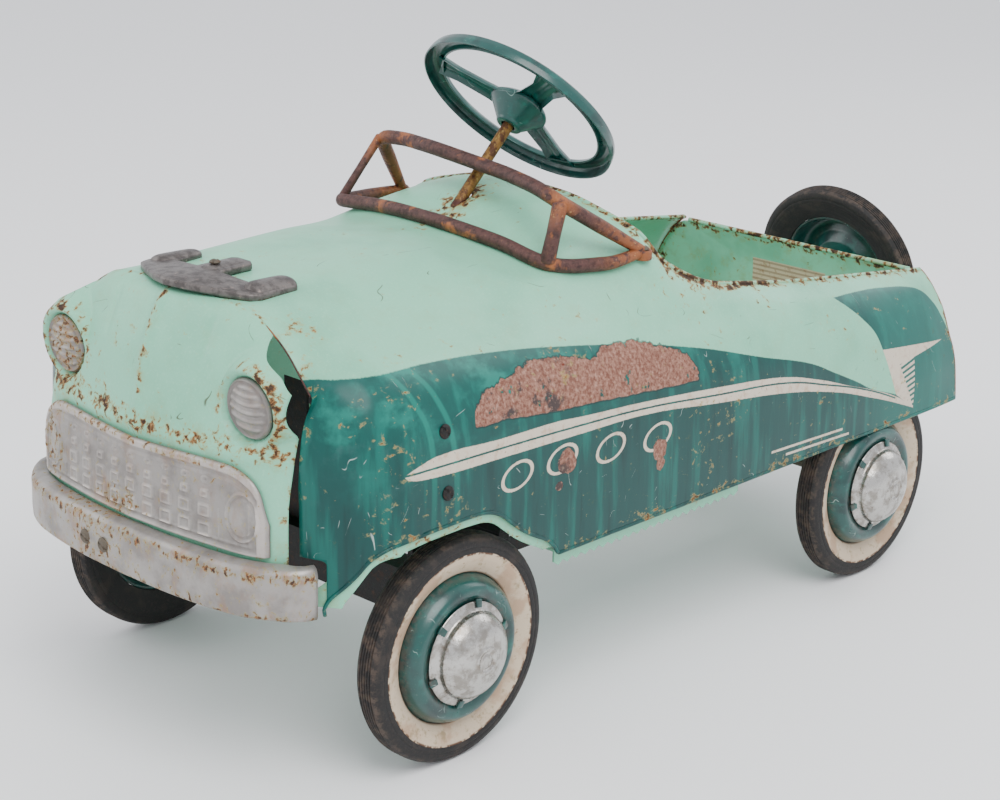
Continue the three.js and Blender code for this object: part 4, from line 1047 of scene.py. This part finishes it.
def soft_box(x, z, half_x, half_z, corner):
    """Distance to a rounded rectangle, negative inside."""
    dx, dz = np.abs(x) - half_x + corner, np.abs(z) - half_z + corner
    return np.hypot(np.maximum(dx, 0), np.maximum(dz, 0)) + np.minimum(np.maximum(dx, dz), 0) - corner


def emboss(distance, flat=0.0, slope=1.3):
    """One inside an outline, falling to nothing over its sloping edge."""
    return np.clip((flat - distance) / slope, 0, 1)


def grille_height(x, z, top):
    """Pressed relief of the grille, in millimetres above its plate."""
    reach = np.abs(x)
    edge = np.minimum(np.minimum(top - z, (150 - reach) * 0.8), z - GRILLE_LOW + 6)
    rim = np.clip(edge / 2.0, 0, 1) - np.clip((edge - 6.5) / 2.2, 0, 1) * 0.8
    relief = rim * 2.6
    relief += bump(edge - 12.5, 1.6) * 0.8
    pitch = 22.0
    column = (x / pitch + 0.5) % 1 * pitch - pitch / 2
    middle = reach < 104
    relief += middle * emboss(np.hypot(column / 1.7, z - 267) - 3.4) * 1.3
    relief -= middle * emboss(np.hypot(column / 1.7, z - 267) - 1.6) * 1.6
    for level, half_x, half_z in ((255, 5.2, 4.0), (241, 7.2, 6.0), (225, 7.6, 6.4)):
        relief += middle * emboss(soft_box(column, z - level, half_x, half_z, 1.6)) * 1.7
        relief -= middle * emboss(soft_box(column, z - level, half_x - 2.4, half_z - 2.2, 1.0)) * 1.2
    oval = np.hypot((reach - 127) / 15.5, (z - 243) / 20)
    for ring, width, tall in ((1.0, 0.10, 1.6), (0.76, 0.08, 1.2)):
        relief += bump(oval - ring, width) * tall
    return relief + (oval < 0.7) * 0.5


def grille():
    across = np.linspace(-150, 150, 257)
    top = from_table(GRILLE_TOP, np.abs(across))
    up = np.linspace(0, 1, 62)
    x = np.repeat(across[:, None], len(up), axis=1)
    z = GRILLE_LOW + (top[:, None] - GRILLE_LOW) * up
    base = nose_front(x, z) - 2.6
    return np.stack([x, base - grille_height(x, z, top[:, None] * np.ones_like(z)), z], axis=-1)




# How far the grille's relief stands out: it sets the silver paint's painted highlight on the relief and
# painted shade on the plate.
def grille_raised(points):
    base = nose_front(points[:, 0], points[:, 2]) - 2.6
    return np.clip((base - points[:, 1]) / 3.2, 0, 1)


def grille_wear(points):
    edge = bump(points[:, 2] - 281, 8) * 0.6
    mid = bump(points[:, 0] + 20, 46) * bump(points[:, 2] - 222, 26) * 0.9
    far = bump(points[:, 0] + 130, 40) * 0.6
    return np.clip(np.maximum.reduce([edge, mid, far]) + 0.25, 0, 1)


piece("grille", grid(grille()), "chassis", SILVER_PAINT, ["grille_panel"], wall=1.2, sharp=60,
      fields={"wear": grille_wear, "raised": grille_raised})

# ---------------------------------------------------------------- bumper
BUMPER_PLAN = [[0, -500], [60, -498], [120, -490], [152, -479], [172, -465], [182, -452], [185, -442]]
BUMPER_PROFILE = [[9, 163.4], [4, 163.2], [0.6, 166.5], [0.0, 176], [0.2, 192], [0, 200.5], [1.4, 204.6],
                  [4.6, 207.4], [9, 208.6], [15, 209.4], [17.5, 207.6]]
# dents: across, up, reach and depth
BUMPER_DENTS = [(60, 196, 26, 1.6), (-110, 186, 30, 1.4), (130, 180, 24, 1.2), (10, 204, 20, 1.0)]
# bolts of the bumper: name, across and place of the face
BUMPER_BOLTS = [("outer", -48, -498.7), ("inner", -22, -499.7)]
BUMPER_BOLT_Z = 184


def bumper():
    place = np.r_[np.linspace(0, 150, 60)[:-1], np.linspace(150, 185, 34)]
    plan_y = from_table(BUMPER_PLAN, place)
    inward = unit(np.column_stack([-np.gradient(plan_y, place), np.ones(len(place))]))
    profile = rounded(BUMPER_PROFILE, 1.6, 3)
    depth, z = profile[:, 0], profile[:, 1]
    depth = depth[None, :] * np.interp(place, [0, 168, 185], [1, 1, 0.55])[:, None]
    x = place[:, None] + inward[:, :1] * depth
    y = plan_y[:, None] + inward[:, 1:] * depth
    left = np.stack([x, y, np.repeat(z[None, :], len(place), axis=0)], axis=-1)
    points = np.vstack([(left * (-1, 1, 1))[::-1], left[1:]])
    flat = points.reshape(-1, 3).copy()
    for x0, z0, reach, deep in BUMPER_DENTS:
        flat[:, 1] += bump(np.hypot(flat[:, 0] - x0, (flat[:, 2] - z0) * 1.6), reach) * deep
    for bolt_place in BUMPER_BOLTS:
        away = np.hypot(flat[:, 0] - bolt_place[1], flat[:, 2] - BUMPER_BOLT_Z)
        flat[:, 1] += bump(away, 11) * 1.6 * (flat[:, 1] < -490)
    return grid(flat.reshape(points.shape))


def bumper_wear(points):
    lip = bump(points[:, 2] - 201.5, 7) * 0.95
    low = bump(points[:, 2] - 164, 9) * 0.8
    bolts = np.maximum(bump(np.hypot(points[:, 0] + 48, points[:, 2] - 184), 26),
                       bump(np.hypot(points[:, 0] + 22, points[:, 2] - 180), 28))
    ledge = bump(points[:, 2] - 209, 3) * bump(points[:, 0] + 60, 90) * 0.7
    return np.clip(np.maximum.reduce([lip, low, bolts, ledge]) + 0.32, 0, 1)


# an even, middling raised value leaves the bumper with next to no painted highlight or shade
piece("bumper", bumper(), "chassis", SILVER_PAINT, ["front_bumper"], wall=1.4,
      fields={"wear": bumper_wear, "raised": lambda p: np.full(len(p), 0.42)})


# ---------------------------------------------------------------- lamps
def lamp_face():
    radius = np.r_[0, np.linspace(1.2, LAMP_RADIUS, 34)]
    turns = np.linspace(0, 2 * math.pi, 110, endpoint=False)
    x, y = np.outer(radius, np.cos(turns)), np.outer(radius, np.sin(turns))
    away = np.repeat(radius[:, None], len(turns), axis=1)
    dome = 4.6 * np.sqrt(np.clip(1 - (away / 24) ** 2, 0, 1)) + 0.8
    border = bump(away - 24.2, 2.2) * 3.0
    ribs = 0
    for level in (-16.5, -9.5, -2.5, 4.5, 11.5, 18):
        curve = y - level - 0.008 * x**2
        ribs = ribs + bump(curve, 2.5) * np.clip((21.5 - away) / 2, 0, 1) * 1.7
    lift = np.where(away < 23, dome, 0.8) + border + ribs
    lift = np.where(away > 26, 0.2, lift)
    return grid(np.stack([x, y, lift], axis=-1), wrap=True)


for side_name, side in SIDES:
    aim = (side * LAMP_AIM[0], LAMP_AIM[1], LAMP_AIM[2])
    # the raised field gives the top of each lamp's dome and ribs a painted highlight and its lower parts
    # painted shade
    piece(f"lamp_{side_name}", lamp_face(), "chassis", SILVER_PAINT,
          [f"headlight_{side_name}"], place=aimed(aim, LAMP * (side, 1, 1)), wall=1.0, sharp=60,
          fields={"wear": lambda p, s=side: np.full(len(p), 0.12 if s > 0 else 0.95),
                  "raised": lambda p: np.clip((p[:, 2] - 3) / 7, 0, 1)})

# ---------------------------------------------------------------- hood ornament
ORNAMENT_FOOT, ORNAMENT_Y = 405.4, -446


def on_hood(a, b, h):
    """Ornament drawing to its place: a and b in plan, h above its foot, drooping along the hood's crown."""
    return (a, b, ORNAMENT_FOOT + (b - ORNAMENT_Y) * 0.012 + h - 6.4 * abs(a / 72) ** 1.5)


def prong(x, start, end, width, tall):
    """Rounded finger that lies along the hood and tapers to its rear."""
    t = np.linspace(0, 1, 22)
    ring = np.linspace(0, math.pi, 15)
    size = np.sqrt(np.clip(1 - (2 * t - 1) ** 6, 0, 1))
    rows = []
    for share, s in zip(t, size):
        b = start + (end - start) * share
        rows.append([on_hood(x + math.cos(a) * width * s, b, 5 + math.sin(a) * tall * s * (1 - 0.25 * share))
                     for a in ring])
    return grid(np.array(rows))


half_wing = [[20, -441], [50, -427], [72, -414], [76, -404], [74, -364], [66, -359], [52, -362], [48, -394],
             [14, -398], [14, -362], [8, -358]]
wing_line = [[0, -446]] + half_wing + [[-x, y] for x, y in half_wing[::-1]]
wings = plate(wing_line, 0, 7, 1.9, on_hood)
ornament = together(wings, prong(62, -408, -359, 12, 7), prong(-62, -408, -359, 12, 7),
                    prong(0, -404, -359, 11, 4))
piece("ornament", ornament, "chassis", CASTING, ["hood_ornament"], sharp=50)


# ---------------------------------------------------------------- screws, bolts and nuts
def screw_head(radius, height, shank, length):
    """Domed, slotted head on a plain shank."""
    profile = rounded([[0.01, -length], [shank, -length], [shank, 0], [radius, 0], [radius, height * 0.35],
                       [radius * 0.65, height * 0.85], [0.01, height]], 0.7, 3)
    points, faces = lathe(profile, 28)
    slot = (np.abs(points[:, 0]) < radius * 0.16) & (points[:, 2] > height * 0.3)
    points[slot, 2] -= height * 0.35
    return points, faces


def bolt(name, node, direction, position, sizes, material, turn=0.5):
    piece(name, screw_head(*sizes), "chassis", material, [node], place=aimed(direction, position, turn),
          sharp=30)


# name, height and half-width of the skin there
SIDE_BOLTS = [("upper", 307, 215.6), ("lower", 255, 220.3)]
SIDE_BOLT_Y = -333
bolt("ornament_screw_head", "ornament_screw", (0, 0, 1),
     (0, -391, 415.6), (5, 3, 3, 6), BOLT_STEEL)
for side_name, side in SIDES:
    for level, z, skin_x in SIDE_BOLTS:
        bolt(f"side_bolt_{level}_{side_name}_head", f"side_bolt_{level}_{side_name}", (side, 0, 0.12),
             (side * (skin_x + 0.9), SIDE_BOLT_Y, z), (6.3, 3.4, 3, 11), BLACK_STEEL, turn=0.7)
    bolt(f"windscreen_bolt_{side_name}_head", f"windscreen_bolt_{side_name}", (0, 0, 1),
         (side * 158, -19, 394.6 + (side < 0) * 4), (5.5, 4, 3, 8), BOLT_STEEL)
for label, x, face_y in BUMPER_BOLTS:
    bolt(f"bumper_bolt_{label}_head", f"bumper_bolt_{label}", (0, -1, 0), (x, face_y + 1.2, BUMPER_BOLT_Z),
         (6.6, 4, 3.6, 9), BOLT_STEEL, turn=1.1)

# ---------------------------------------------------------------- windscreen frame
SCREEN_HIGH = {1: np.array([136, -110, 448.0]), -1: np.array([-134, -73, 462.0])}
SCREEN_FOOT = {1: np.array([158, -19, 393.0]), -1: np.array([-158, -19, 397.0])}
SCREEN_CORNER = {1: np.array([139, -129, 396.0]), -1: np.array([-141, -119, 404.0])}
SCREEN_LOWER = [(155, -57, 388), (150, -80, 389), (145, -106, 391), SCREEN_CORNER[1], (121, -133, 400),
                (93, -134, 406), (59, -139, 411), (14, -139, 414), (-52, -132, 413), (-91, -124, 409),
                (-130, -121, 405), SCREEN_CORNER[-1], (-148, -92, 401), (-154, -55, 399)]
SCREEN_UPPER = [SCREEN_HIGH[1], (125, -111, 452), (100, -105, 456), (50, -91, 458), (0, -86, 461),
                (-50, -84, 465), (-100, -72, 464), SCREEN_HIGH[-1]]


def screen_bar(corners, bend, size):
    route = rounded(np.vstack([SCREEN_FOOT[1] + (0, 6, -1), SCREEN_FOOT[1], *corners, SCREEN_FOOT[-1],
                               SCREEN_FOOT[-1] + (0, 6, -1)]), bend, 8)
    route, even = evenly(route, 150)
    end = np.minimum(even, even[-1] - even)
    return tube(route, np.interp(end, [0, 18, 60], [4.8, 5.4, size]), 20)


struts = []
eyes = []
for side, thick in ((1, 7.2), (-1, 4.4)):
    middle = (SCREEN_CORNER[side] + SCREEN_HIGH[side]) / 2
    struts.append(tube([SCREEN_CORNER[side], middle, SCREEN_HIGH[side]], [thick, thick * 0.92, thick], 16))
    ring = lathe(rounded([[3.7, -9], [8.4, -9], [8.4, 0], [3.7, 0]], 1.2, 3, closed=True), 28, closed=True)
    eyes.append((ring[0] + SCREEN_FOOT[side] + (0, 0, 1.4), ring[1]))
screen = together(screen_bar(SCREEN_LOWER, 14, 6.6), screen_bar(SCREEN_UPPER, 14, 6.8), *struts, *eyes)


def screen_wear(points):
    side_points = np.column_stack([np.abs(points[:, 0]), points[:, 1:]])
    high = bump(np.minimum(np.linalg.norm(points - SCREEN_HIGH[1], axis=1),
                           np.linalg.norm(points - SCREEN_HIGH[-1], axis=1)), 26)
    back = bump(side_points[:, 1] + 30, 62) * (side_points[:, 0] > 120) * 0.8
    weld = bump(np.abs(points[:, 0] + 70), 9) * (points[:, 2] < 430)
    return np.clip(np.maximum.reduce([high, back, weld]), 0, 1)


piece("windscreen", screen, "chassis", RUSTED, ["windscreen_frame"], sharp=50,
      fields={"wear": screen_wear})


# ---------------------------------------------------------------- steering wheel and column
def column_point(distance):
    return WHEEL_HUB - COLUMN_AXIS * distance


RIM_PROFILE = [[83.5, -4.5], [85.5, 0.5], [90, 3.2], [95.5, 3.4], [100, 1.2], [101.6, -4], [102, -10.5],
               [100.4, -10.5], [99.9, -4.2], [98.4, -0.4], [95, 1.6], [90.6, 1.4], [87.2, -0.6], [85.4, -4.9]]


def spoke(turn):
    """Wide pressed spoke with turned-down edges and a centre rib."""
    t = np.linspace(0, 1, 26)
    across = np.linspace(-1, 1, 21)
    reach = 17 + 71 * t
    half = np.interp(t, [0, 0.25, 0.7, 1], [17, 13.5, 12, 17])
    points = np.zeros((len(t), len(across), 3))
    points[..., 0] = reach[:, None]
    points[..., 1] = half[:, None] * across
    points[..., 2] = -0.4 - 4.5 * np.clip(np.abs(across) - 0.72, 0, 1) ** 1 / 0.28 + bump(across, 0.3) * 1.6
    points[..., 2] += np.interp(t, [0, 0.2, 1], [-0.6, 0, 0.2])[:, None]
    c, s = math.cos(turn), math.sin(turn)
    x, y = points[..., 0].copy(), points[..., 1].copy()
    points[..., 0], points[..., 1] = x * c - y * s, x * s + y * c
    thick = points - (0, 0, 1.6)
    upper, lower = grid(points), grid(thick)
    rows, columns = len(t), len(across)
    loop = [*range(columns), *(r * columns + columns - 1 for r in range(1, rows))]
    loop += [(rows - 1) * columns + c for c in range(columns - 2, -1, -1)]
    loop += [r * columns for r in range(rows - 2, 0, -1)]
    total = rows * columns
    sides = [(a, b, b + total, a + total) for a, b in zip(loop, loop[1:] + loop[:1])]
    faces = upper[1] + [tuple(reversed([i + total for i in f])) for f in lower[1]] + sides
    return np.vstack([upper[0], lower[0]]), faces


def lobed(turn, radius):
    return 1 + 0.05 * np.cos(3 * turn - math.pi / 2 * 3) * (radius > 15)


hub_profile = rounded([[7, -27], [12.5, -27], [14, -24], [25, -11], [29.5, -6.5], [30, -3], [24, 1.4],
                       [12, 3.4], [7, 3.4]], 1.2, 3, closed=True)
steering_shape = together(
    lathe(rounded(RIM_PROFILE, 0.9, 3, closed=True), 120, closed=True),
    lathe(hub_profile, 72, closed=True, swell=lobed),
    *[spoke(math.radians(turn)) for turn in (90, 215, 325)],
)


def steering_wear(points):
    radius = np.hypot(points[:, 0], points[:, 1])
    top = np.clip((points[:, 2] - 0.5) / 2.5, 0, 1) * np.clip((radius - 90) / 6, 0, 1)
    patchy = 0.5 + 0.5 * np.cos(2 * np.arctan2(points[:, 1], points[:, 0]) + 0.6)
    return np.clip(top * (0.55 + 0.45 * patchy), 0, 1)


def column_placed(distance, turn=0.0):
    """Placement on the column with local X level and local Y towards the top of the wheel."""
    up_slope = Vector((0, -math.sin(COLUMN_TILT), math.cos(COLUMN_TILT)))
    axes = Matrix((Vector((1, 0, 0)), up_slope, Vector(COLUMN_AXIS))).transposed().to_4x4()
    if axes.determinant() < 0:
        axes = Matrix((Vector((-1, 0, 0)), up_slope, Vector(COLUMN_AXIS))).transposed().to_4x4()
    spot = (Vector(column_point(distance)) + Vector((0, FRAME_SHIFT, 0))) * MM
    return Matrix.Translation(spot) @ axes @ Matrix.Rotation(turn, 4, "Z")


piece("steering_wheel_pressing", steering_shape, "steering", ENAMEL, ["steering_wheel"],
      place=column_placed(0, math.pi), sharp=45, fields={"wear": steering_wear})
foot = column_point(384)
droop = np.array([0, math.sin(COLUMN_TILT), -math.cos(COLUMN_TILT)])
tip = foot + droop * 45
arm_line = rounded([column_point(378), foot, foot + droop * 20, tip], 6)
ball = lathe([[5 * math.sin(a) + 0.001, -5 * math.cos(a)] for a in np.linspace(0, math.pi, 13)], 24)
shaft = tube(np.linspace(column_point(-5), foot, 40), AXLE_RADIUS, 20)
column = together(shaft, tube(arm_line, 4, 16), (ball[0] + tip, ball[1]))
piece("steering_column", column, "steering", SHAFT, ["steering_shaft"])
nut = lathe(rounded([[0.01, 5.2], [9, 5.2], [9, 9.4], [5.6, 10.4], [5.2, 12], [0.01, 12.4]], 0.6, 2), 48,
            swell=lambda turn, radius: np.where(radius > 7, np.cos(math.pi / 6) / np.cos(
                (turn + math.pi / 6) % (math.pi / 3) - math.pi / 6), 1))
piece("steering_nut", nut, "steering", BOLT_STEEL, ["steering_wheel_nut"],
      place=column_placed(0))

# ---------------------------------------------------------------- wheels
TREAD = [[-8.6, 0.9]]
for groove in (-6, -3, 0, 3, 6):
    TREAD += [[groove - 0.9, 0], [groove - 0.45, 1.5], [groove + 0.45, 1.5], [groove + 0.9, 0]]
TREAD += [[8.6, 0.9]]


def tyre():
    wall = [[99, 11.4], [95, 13], [92.6, 13.2], [91.8, 12.8], [91, 13.4], [88, 13.5], [87.2, 13],
            [86.4, 13.3], [80, 11.7], [74, 9], [70, 6.6], [67.4, 5.2]]
    profile = [[WHEEL_RADIUS - deep, h] for h, deep in TREAD] + wall
    profile = [[r, -h] for r, h in wall[::-1]] + profile
    return lathe(rounded(profile, 0.5, 2, closed=True), 144, closed=True)


def wheel_disc():
    outer = [[67, 5], [65, 10], [63, 14.2], [61, 17], [58.5, 19.6], [56, 20.5], [53, 20.5], [50, 19.6],
             [47, 18], [44, 17.4], [30, 14], [13, 12], [12.4, 11], [6.2, 11]]
    inner = [[6.2, -15], [12, -15], [13, -4], [34, 3], [44, 12], [52, 16], [56, 16.6], [59, 14], [61.6, 8],
             [63.6, -2], [65, -4.6], [67, -4.4]]
    points, faces = lathe(rounded(outer + inner, 1.6, 4, closed=True), 120, closed=True)
    tabs = []
    for i in range(6):
        turn = i * math.pi / 3 + 0.3
        tab = plate([[41.5, -3], [48.5, -3.6], [48.5, 3.6], [41.5, 3]], 0, 2.2, 0.7,
                    lambda a, b, h: (a, b, h + 22.3 - max(0, a - 41) * 0.33))
        c, s = math.cos(turn), math.sin(turn)
        x, y, z = tab[0].T
        spun = np.column_stack([x * c - y * s, x * s + y * c, z])
        tabs.append((spun, tab[1]))
    return together((points, faces), *tabs)


def hubcap():
    profile = [[0.01, 43.6], [5, 43.4], [6.6, 42.2], [8.4, 42.2], [10, 43.4], [12, 43.1], [13.6, 41.8],
               [16, 42], [20.5, 41.4], [25, 40], [29.5, 37.8], [33, 35], [36, 31.6], [38, 28.6], [38.2, 26.6],
               [38.8, 23.8], [41, 22.4], [46, 20.8], [46.6, 19.4], [38, 19.8], [35.8, 28], [24, 37],
               [0.01, 41]]
    return lathe(rounded(profile, 1.2, 4), 96)


def disc_wear(points):
    radius = np.hypot(points[:, 0], points[:, 1])
    patchy = 0.4 + 0.4 * np.sin(np.arctan2(points[:, 1], points[:, 0]) * 2 + 1)
    return np.clip(bump(radius - 66.5, 4) * 0.5 + bump(radius - 47, 6) * patchy, 0, 1)


def cap_wear(points):
    radius = np.hypot(points[:, 0], points[:, 1])
    return np.clip(bump(radius - 9, 6) * 0.6 + bump(radius - 38, 3) * 0.7 + bump(radius - 46, 3) * 0.5, 0, 1)


# name, body, outward direction, centre, quarter turns that spread the stains
WHEELS = [
    ("front_left", "front_wheel_left", (1, 0, 0), (FRONT_WHEEL_X, FRONT_AXLE_Y, WHEEL_RADIUS), 0),
    ("front_right", "front_wheel_right", (-1, 0, 0), (-FRONT_WHEEL_X, FRONT_AXLE_Y, WHEEL_RADIUS), 1),
    ("rear_left", "rear_axle", (1, 0, 0), (REAR_WHEEL_X, REAR_AXLE_Y, WHEEL_RADIUS), 2),
    ("rear_right", "rear_wheel_right", (-1, 0, 0), (-REAR_WHEEL_X, REAR_AXLE_Y, WHEEL_RADIUS), 3),
    ("spare", "chassis", SPARE_AXIS, SPARE_CENTRE, 0),
]
tyre_shape, disc_shape, cap_shape = tyre(), wheel_disc(), hubcap()
for wheel, body, axis, spot, quarters in WHEELS:
    where = aimed(axis, spot, quarters * math.pi / 2)
    piece(f"{wheel}_tyre", tyre_shape, body, RUBBER, [f"tyre_{wheel}"], place=where, sharp=30)
    piece(f"{wheel}_disc", disc_shape, body, ENAMEL, [f"wheel_disc_{wheel}"], place=where,
          fields={"wear": disc_wear})
    piece(f"{wheel}_cap", cap_shape, body, CHROME, [f"hubcap_{wheel}"], place=where,
          fields={"wear": cap_wear})


# ---------------------------------------------------------------- tail panel, spare bracket
def tail_panel():
    half = half_sections([BODY_REAR])[0]
    run = unit(np.gradient(half, axis=0))
    half = half + np.column_stack([run[:, 1], -run[:, 0]]) * 4.6
    half = half[24:]
    half = half[half[:, 1] > 168]
    edge = np.vstack([[[140, 293.5]], half, [[half[-1, 0], 168]]])
    outline = np.vstack([edge, (edge * (-1, 1))[::-1]])
    outline = evenly(outline, 150)[0]
    middle = np.array([0, 232.0])
    rows = []
    for share in np.linspace(0, 1, 26):
        ring = middle + (outline - middle) * share
        bulge = 9.0 * (1 - share**2.6)
        rows.append(np.column_stack([ring[:, 0], np.full(len(ring), 442.5 + bulge), ring[:, 1]]))
    return grid(np.array(rows), wrap=True)


TAIL = Finish("tail_paint")


def tail_paint():
    """Mint paint with a generic striped panel on the side towards the seat."""
    f = TAIL
    grain = f.noise(8, 6, 0.65)
    base = f.colour(MINT).under(MINT_DEEP, f.noise(60, 4, seed=2).rise(0.4, 0.7))
    base = base.under(shade(172, 178, 128), f.noise(20, 6, 0.65, seed=3).rise(0.5, 0.7) * 0.5)
    panel = f.inside(f.x, f.z, [(-61, 239), (-61, 266), (40, 266), (40, 239)]).rise(-0.3, 0.3)
    panel = panel * f.y.rise(454, 453)
    stripes = (f.z / 5.4).math("FRACT").rise(0.5, 0.62)
    label = f.colour(shade(222, 200, 176)).under(shade(150, 112, 84), stripes * 0.55)
    label = label.under(shade(168, 118, 84), grain.rise(0.5, 0.68) * 0.7)
    base = base.under(label, panel)
    base, rust = f.rust(base, f.attribute("wear") * 0.16 + 0.02, 7.0, 5.0)
    return f.done(base, grain * 0.2 + 0.35 + rust * 0.3, 0.0, grain * 0.2 - rust, 0.35)


TAIL_PAINT = tail_paint()
piece("tail_panel", tail_panel(), "chassis", TAIL_PAINT, ["rear_panel"], wall=1.4,
      fields={"wear": lambda p: np.clip(bump(p[:, 2] - 294, 14) + bump(p[:, 1] - 442.5, 3), 0, 1)})
tail_rim = np.array([[x, 442.5, 294.5] for x in np.linspace(-152, 152, 30)])
piece("tail_rim", tube(tail_rim, 2.6, 12), "chassis", MINT_PAINT, fields=full_wear)
edge_half = half_sections([BODY_REAR])[0][32:-2]
edge_places = np.full(len(edge_half), BODY_REAR - 0.8)
edge_line = np.column_stack([edge_half[:, 0] - 1.3, edge_places, edge_half[:, 1] - 0.6])
for side_name, side in SIDES:
    piece(f"tail_seam_{side_name}", sided(tube(edge_line, 1.7, 10), side), "chassis", RUSTED,
          fields=full_wear)

elbow = SPARE_CENTRE - SPARE_AXIS * 40
stub = tube(rounded([[0, 445, elbow[2]], elbow, SPARE_CENTRE + SPARE_AXIS * 14], 8), AXLE_RADIUS, 18)
FLANGE_Y = 453
flange = plate([[-26, -20], [26, -20], [26, 20], [-26, 20]], 0, 3.5, 0.9,
               lambda a, b, h: (a, FLANGE_Y + h, b + elbow[2]))
collar = lathe(rounded([[5.5, 0], [9.5, 0], [9.5, 8], [5.5, 9]], 1, 3, closed=True), 28, closed=True)
collar = (collar[0][:, [0, 2, 1]] + (0, FLANGE_Y, elbow[2]), collar[1])
piece("spare_mount", together(stub, flange, collar), "chassis", BLACK_STEEL, ["spare_bracket"])

# ---------------------------------------------------------------- rods under the body
SPINDLE_ARM_Z, TIE_ROD_Y = 193, FRONT_AXLE_Y + 45
for side_name, side in SIDES:
    corners = [[FRONT_WHEEL_X + 15, FRONT_AXLE_Y, WHEEL_RADIUS], [KINGPIN_X, FRONT_AXLE_Y, WHEEL_RADIUS],
               [KINGPIN_X, FRONT_AXLE_Y, SPINDLE_ARM_Z], [KINGPIN_X, TIE_ROD_Y, SPINDLE_ARM_Z]]
    rod = tube(rounded(corners, 6), AXLE_RADIUS, 18)
    pin = tube([[KINGPIN_X, TIE_ROD_Y, z] for z in (191, 200, 208.5)], 3.5, 14)
    piece(f"spindle_rod_{side_name}", sided(together(rod, pin), side), f"spindle_{side_name}",
          BLACK_STEEL, [f"spindle_{side_name}"])
THROW, ROD_X, ROD_ROOM = 38, 80, 14
AXLE_END = REAR_WHEEL_X + 14
outer_web, inner_web = ROD_X + ROD_ROOM, ROD_X - ROD_ROOM
left_crank = [[AXLE_END, 0, 0], [outer_web, 0, 0], [outer_web, -THROW, 0], [inner_web, -THROW, 0],
              [inner_web, 0, 0]]
right_crank = [[-x, -y, z] for x, y, z in left_crank[::-1]]
crank_line = rounded(np.array(left_crank + right_crank) + (0, REAR_AXLE_Y, WHEEL_RADIUS), 6)
piece("crank_axle", tube(crank_line, AXLE_RADIUS, 18), "rear_axle", BOLT_STEEL, ["rear_axle"])

# The CAD pieces that stay in sight get a finish and eased edges.
CAD_FINISHES = {
    "seat_pan": MINT_PAINT, "sill_rail_left": MINT_PAINT, "sill_rail_right": MINT_PAINT,
    "steering_bracket": BLACK_STEEL, "front_axle_beam": BLACK_STEEL, "tie_rod": BLACK_STEEL,
    "front_hanger_left": BLACK_STEEL, "front_hanger_right": BLACK_STEEL,
    "axle_hanger_left": BLACK_STEEL, "axle_hanger_right": BLACK_STEEL, "pedal_hanger_rod": BLACK_STEEL,
    "drive_rod_left": BLACK_STEEL, "drive_rod_right": BLACK_STEEL,
    "pedal_arm_left": BLACK_STEEL, "pedal_arm_right": BLACK_STEEL,
    "pedal_pad_left": PEDAL, "pedal_pad_right": PEDAL,
}
for node, finish in CAD_FINISHES.items():
    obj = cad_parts[node]
    obj.data.materials.clear()
    obj.data.materials.append(finish)
    ease = obj.modifiers.new("ease", "BEVEL")
    ease.width = 0.7 * MM
    ease.segments = 2
    ease.limit_method = "ANGLE"
    ease.angle_limit = math.radians(40)
    ease.harden_normals = False

# ---------------------------------------------------------------- stage, light, camera
FLOOR_REACH = 6.0
FLOOR_COLOUR = (0.9, 0.9, 0.9, 1)
SKY_COLOUR, SKY_STRENGTH = (0.93, 0.95, 1.0, 1), 1.3
LIGHT_TARGET = Vector((0, 0, 0.2))
# name, place and diameter in metres, power in watts
LIGHTS = [("key", (1.6, -1.0, 2.6), 2.0, 70), ("fill", (-2.2, -1.8, 1.8), 2.4, 30),
          ("back", (0.4, 2.6, 2.2), 2.0, 30)]

floor_mesh = bpy.data.meshes.new("floor")
floor_corners = [(a * FLOOR_REACH, b * FLOOR_REACH, 0) for a, b in ((-1, -1), (1, -1), (1, 1), (-1, 1))]
floor_mesh.from_pydata(floor_corners, [], [(0, 1, 2, 3)])
floor = bpy.data.objects.new("floor", floor_mesh)
bpy.context.scene.collection.objects.link(floor)
pale = bpy.data.materials.new("pale_floor")
pale.use_nodes = True
pale.node_tree.nodes["Principled BSDF"].inputs["Base Color"].default_value = FLOOR_COLOUR
pale.node_tree.nodes["Principled BSDF"].inputs["Roughness"].default_value = 0.6
floor_mesh.materials.append(pale)

world = bpy.data.worlds.new("studio")
world.use_nodes = True
world.node_tree.nodes["Background"].inputs[0].default_value = SKY_COLOUR
world.node_tree.nodes["Background"].inputs[1].default_value = SKY_STRENGTH
bpy.context.scene.world = world

for light_name, position, size, power in LIGHTS:
    light_data = bpy.data.lights.new(light_name, "AREA")
    light_data.shape, light_data.size, light_data.energy = "DISK", size, power
    light = bpy.data.objects.new(light_name, light_data)
    bpy.context.scene.collection.objects.link(light)
    light.location = position
    light.rotation_euler = (LIGHT_TARGET - Vector(position)).to_track_quat("-Z", "Y").to_euler()

CAMERA_AT = np.array([1376.72, -1510.75, 877.31])
LENS, SENSOR_WIDTH = 77.86, 36
AZIMUTH, ELEVATION, ROLL = math.radians(43.04), math.radians(18.17), math.radians(1.42)
ahead = Vector((-math.sin(AZIMUTH) * math.cos(ELEVATION), math.cos(AZIMUTH) * math.cos(ELEVATION),
                -math.sin(ELEVATION)))
right = ahead.cross(Vector((0, 0, 1))).normalized()
above = right.cross(ahead)
tilted_right = right * math.cos(ROLL) + above * math.sin(ROLL)
tilted_up = above * math.cos(ROLL) - right * math.sin(ROLL)
camera_data = bpy.data.cameras.new("camera")
camera_data.lens, camera_data.sensor_width = LENS, SENSOR_WIDTH
camera = bpy.data.objects.new("camera", camera_data)
bpy.context.scene.collection.objects.link(camera)
camera.matrix_world = Matrix.Translation((Vector(CAMERA_AT) + Vector((0, FRAME_SHIFT, 0))) * MM) @ Matrix(
    (tilted_right, tilted_up, -ahead)).transposed().to_4x4()
bpy.context.scene.camera = camera
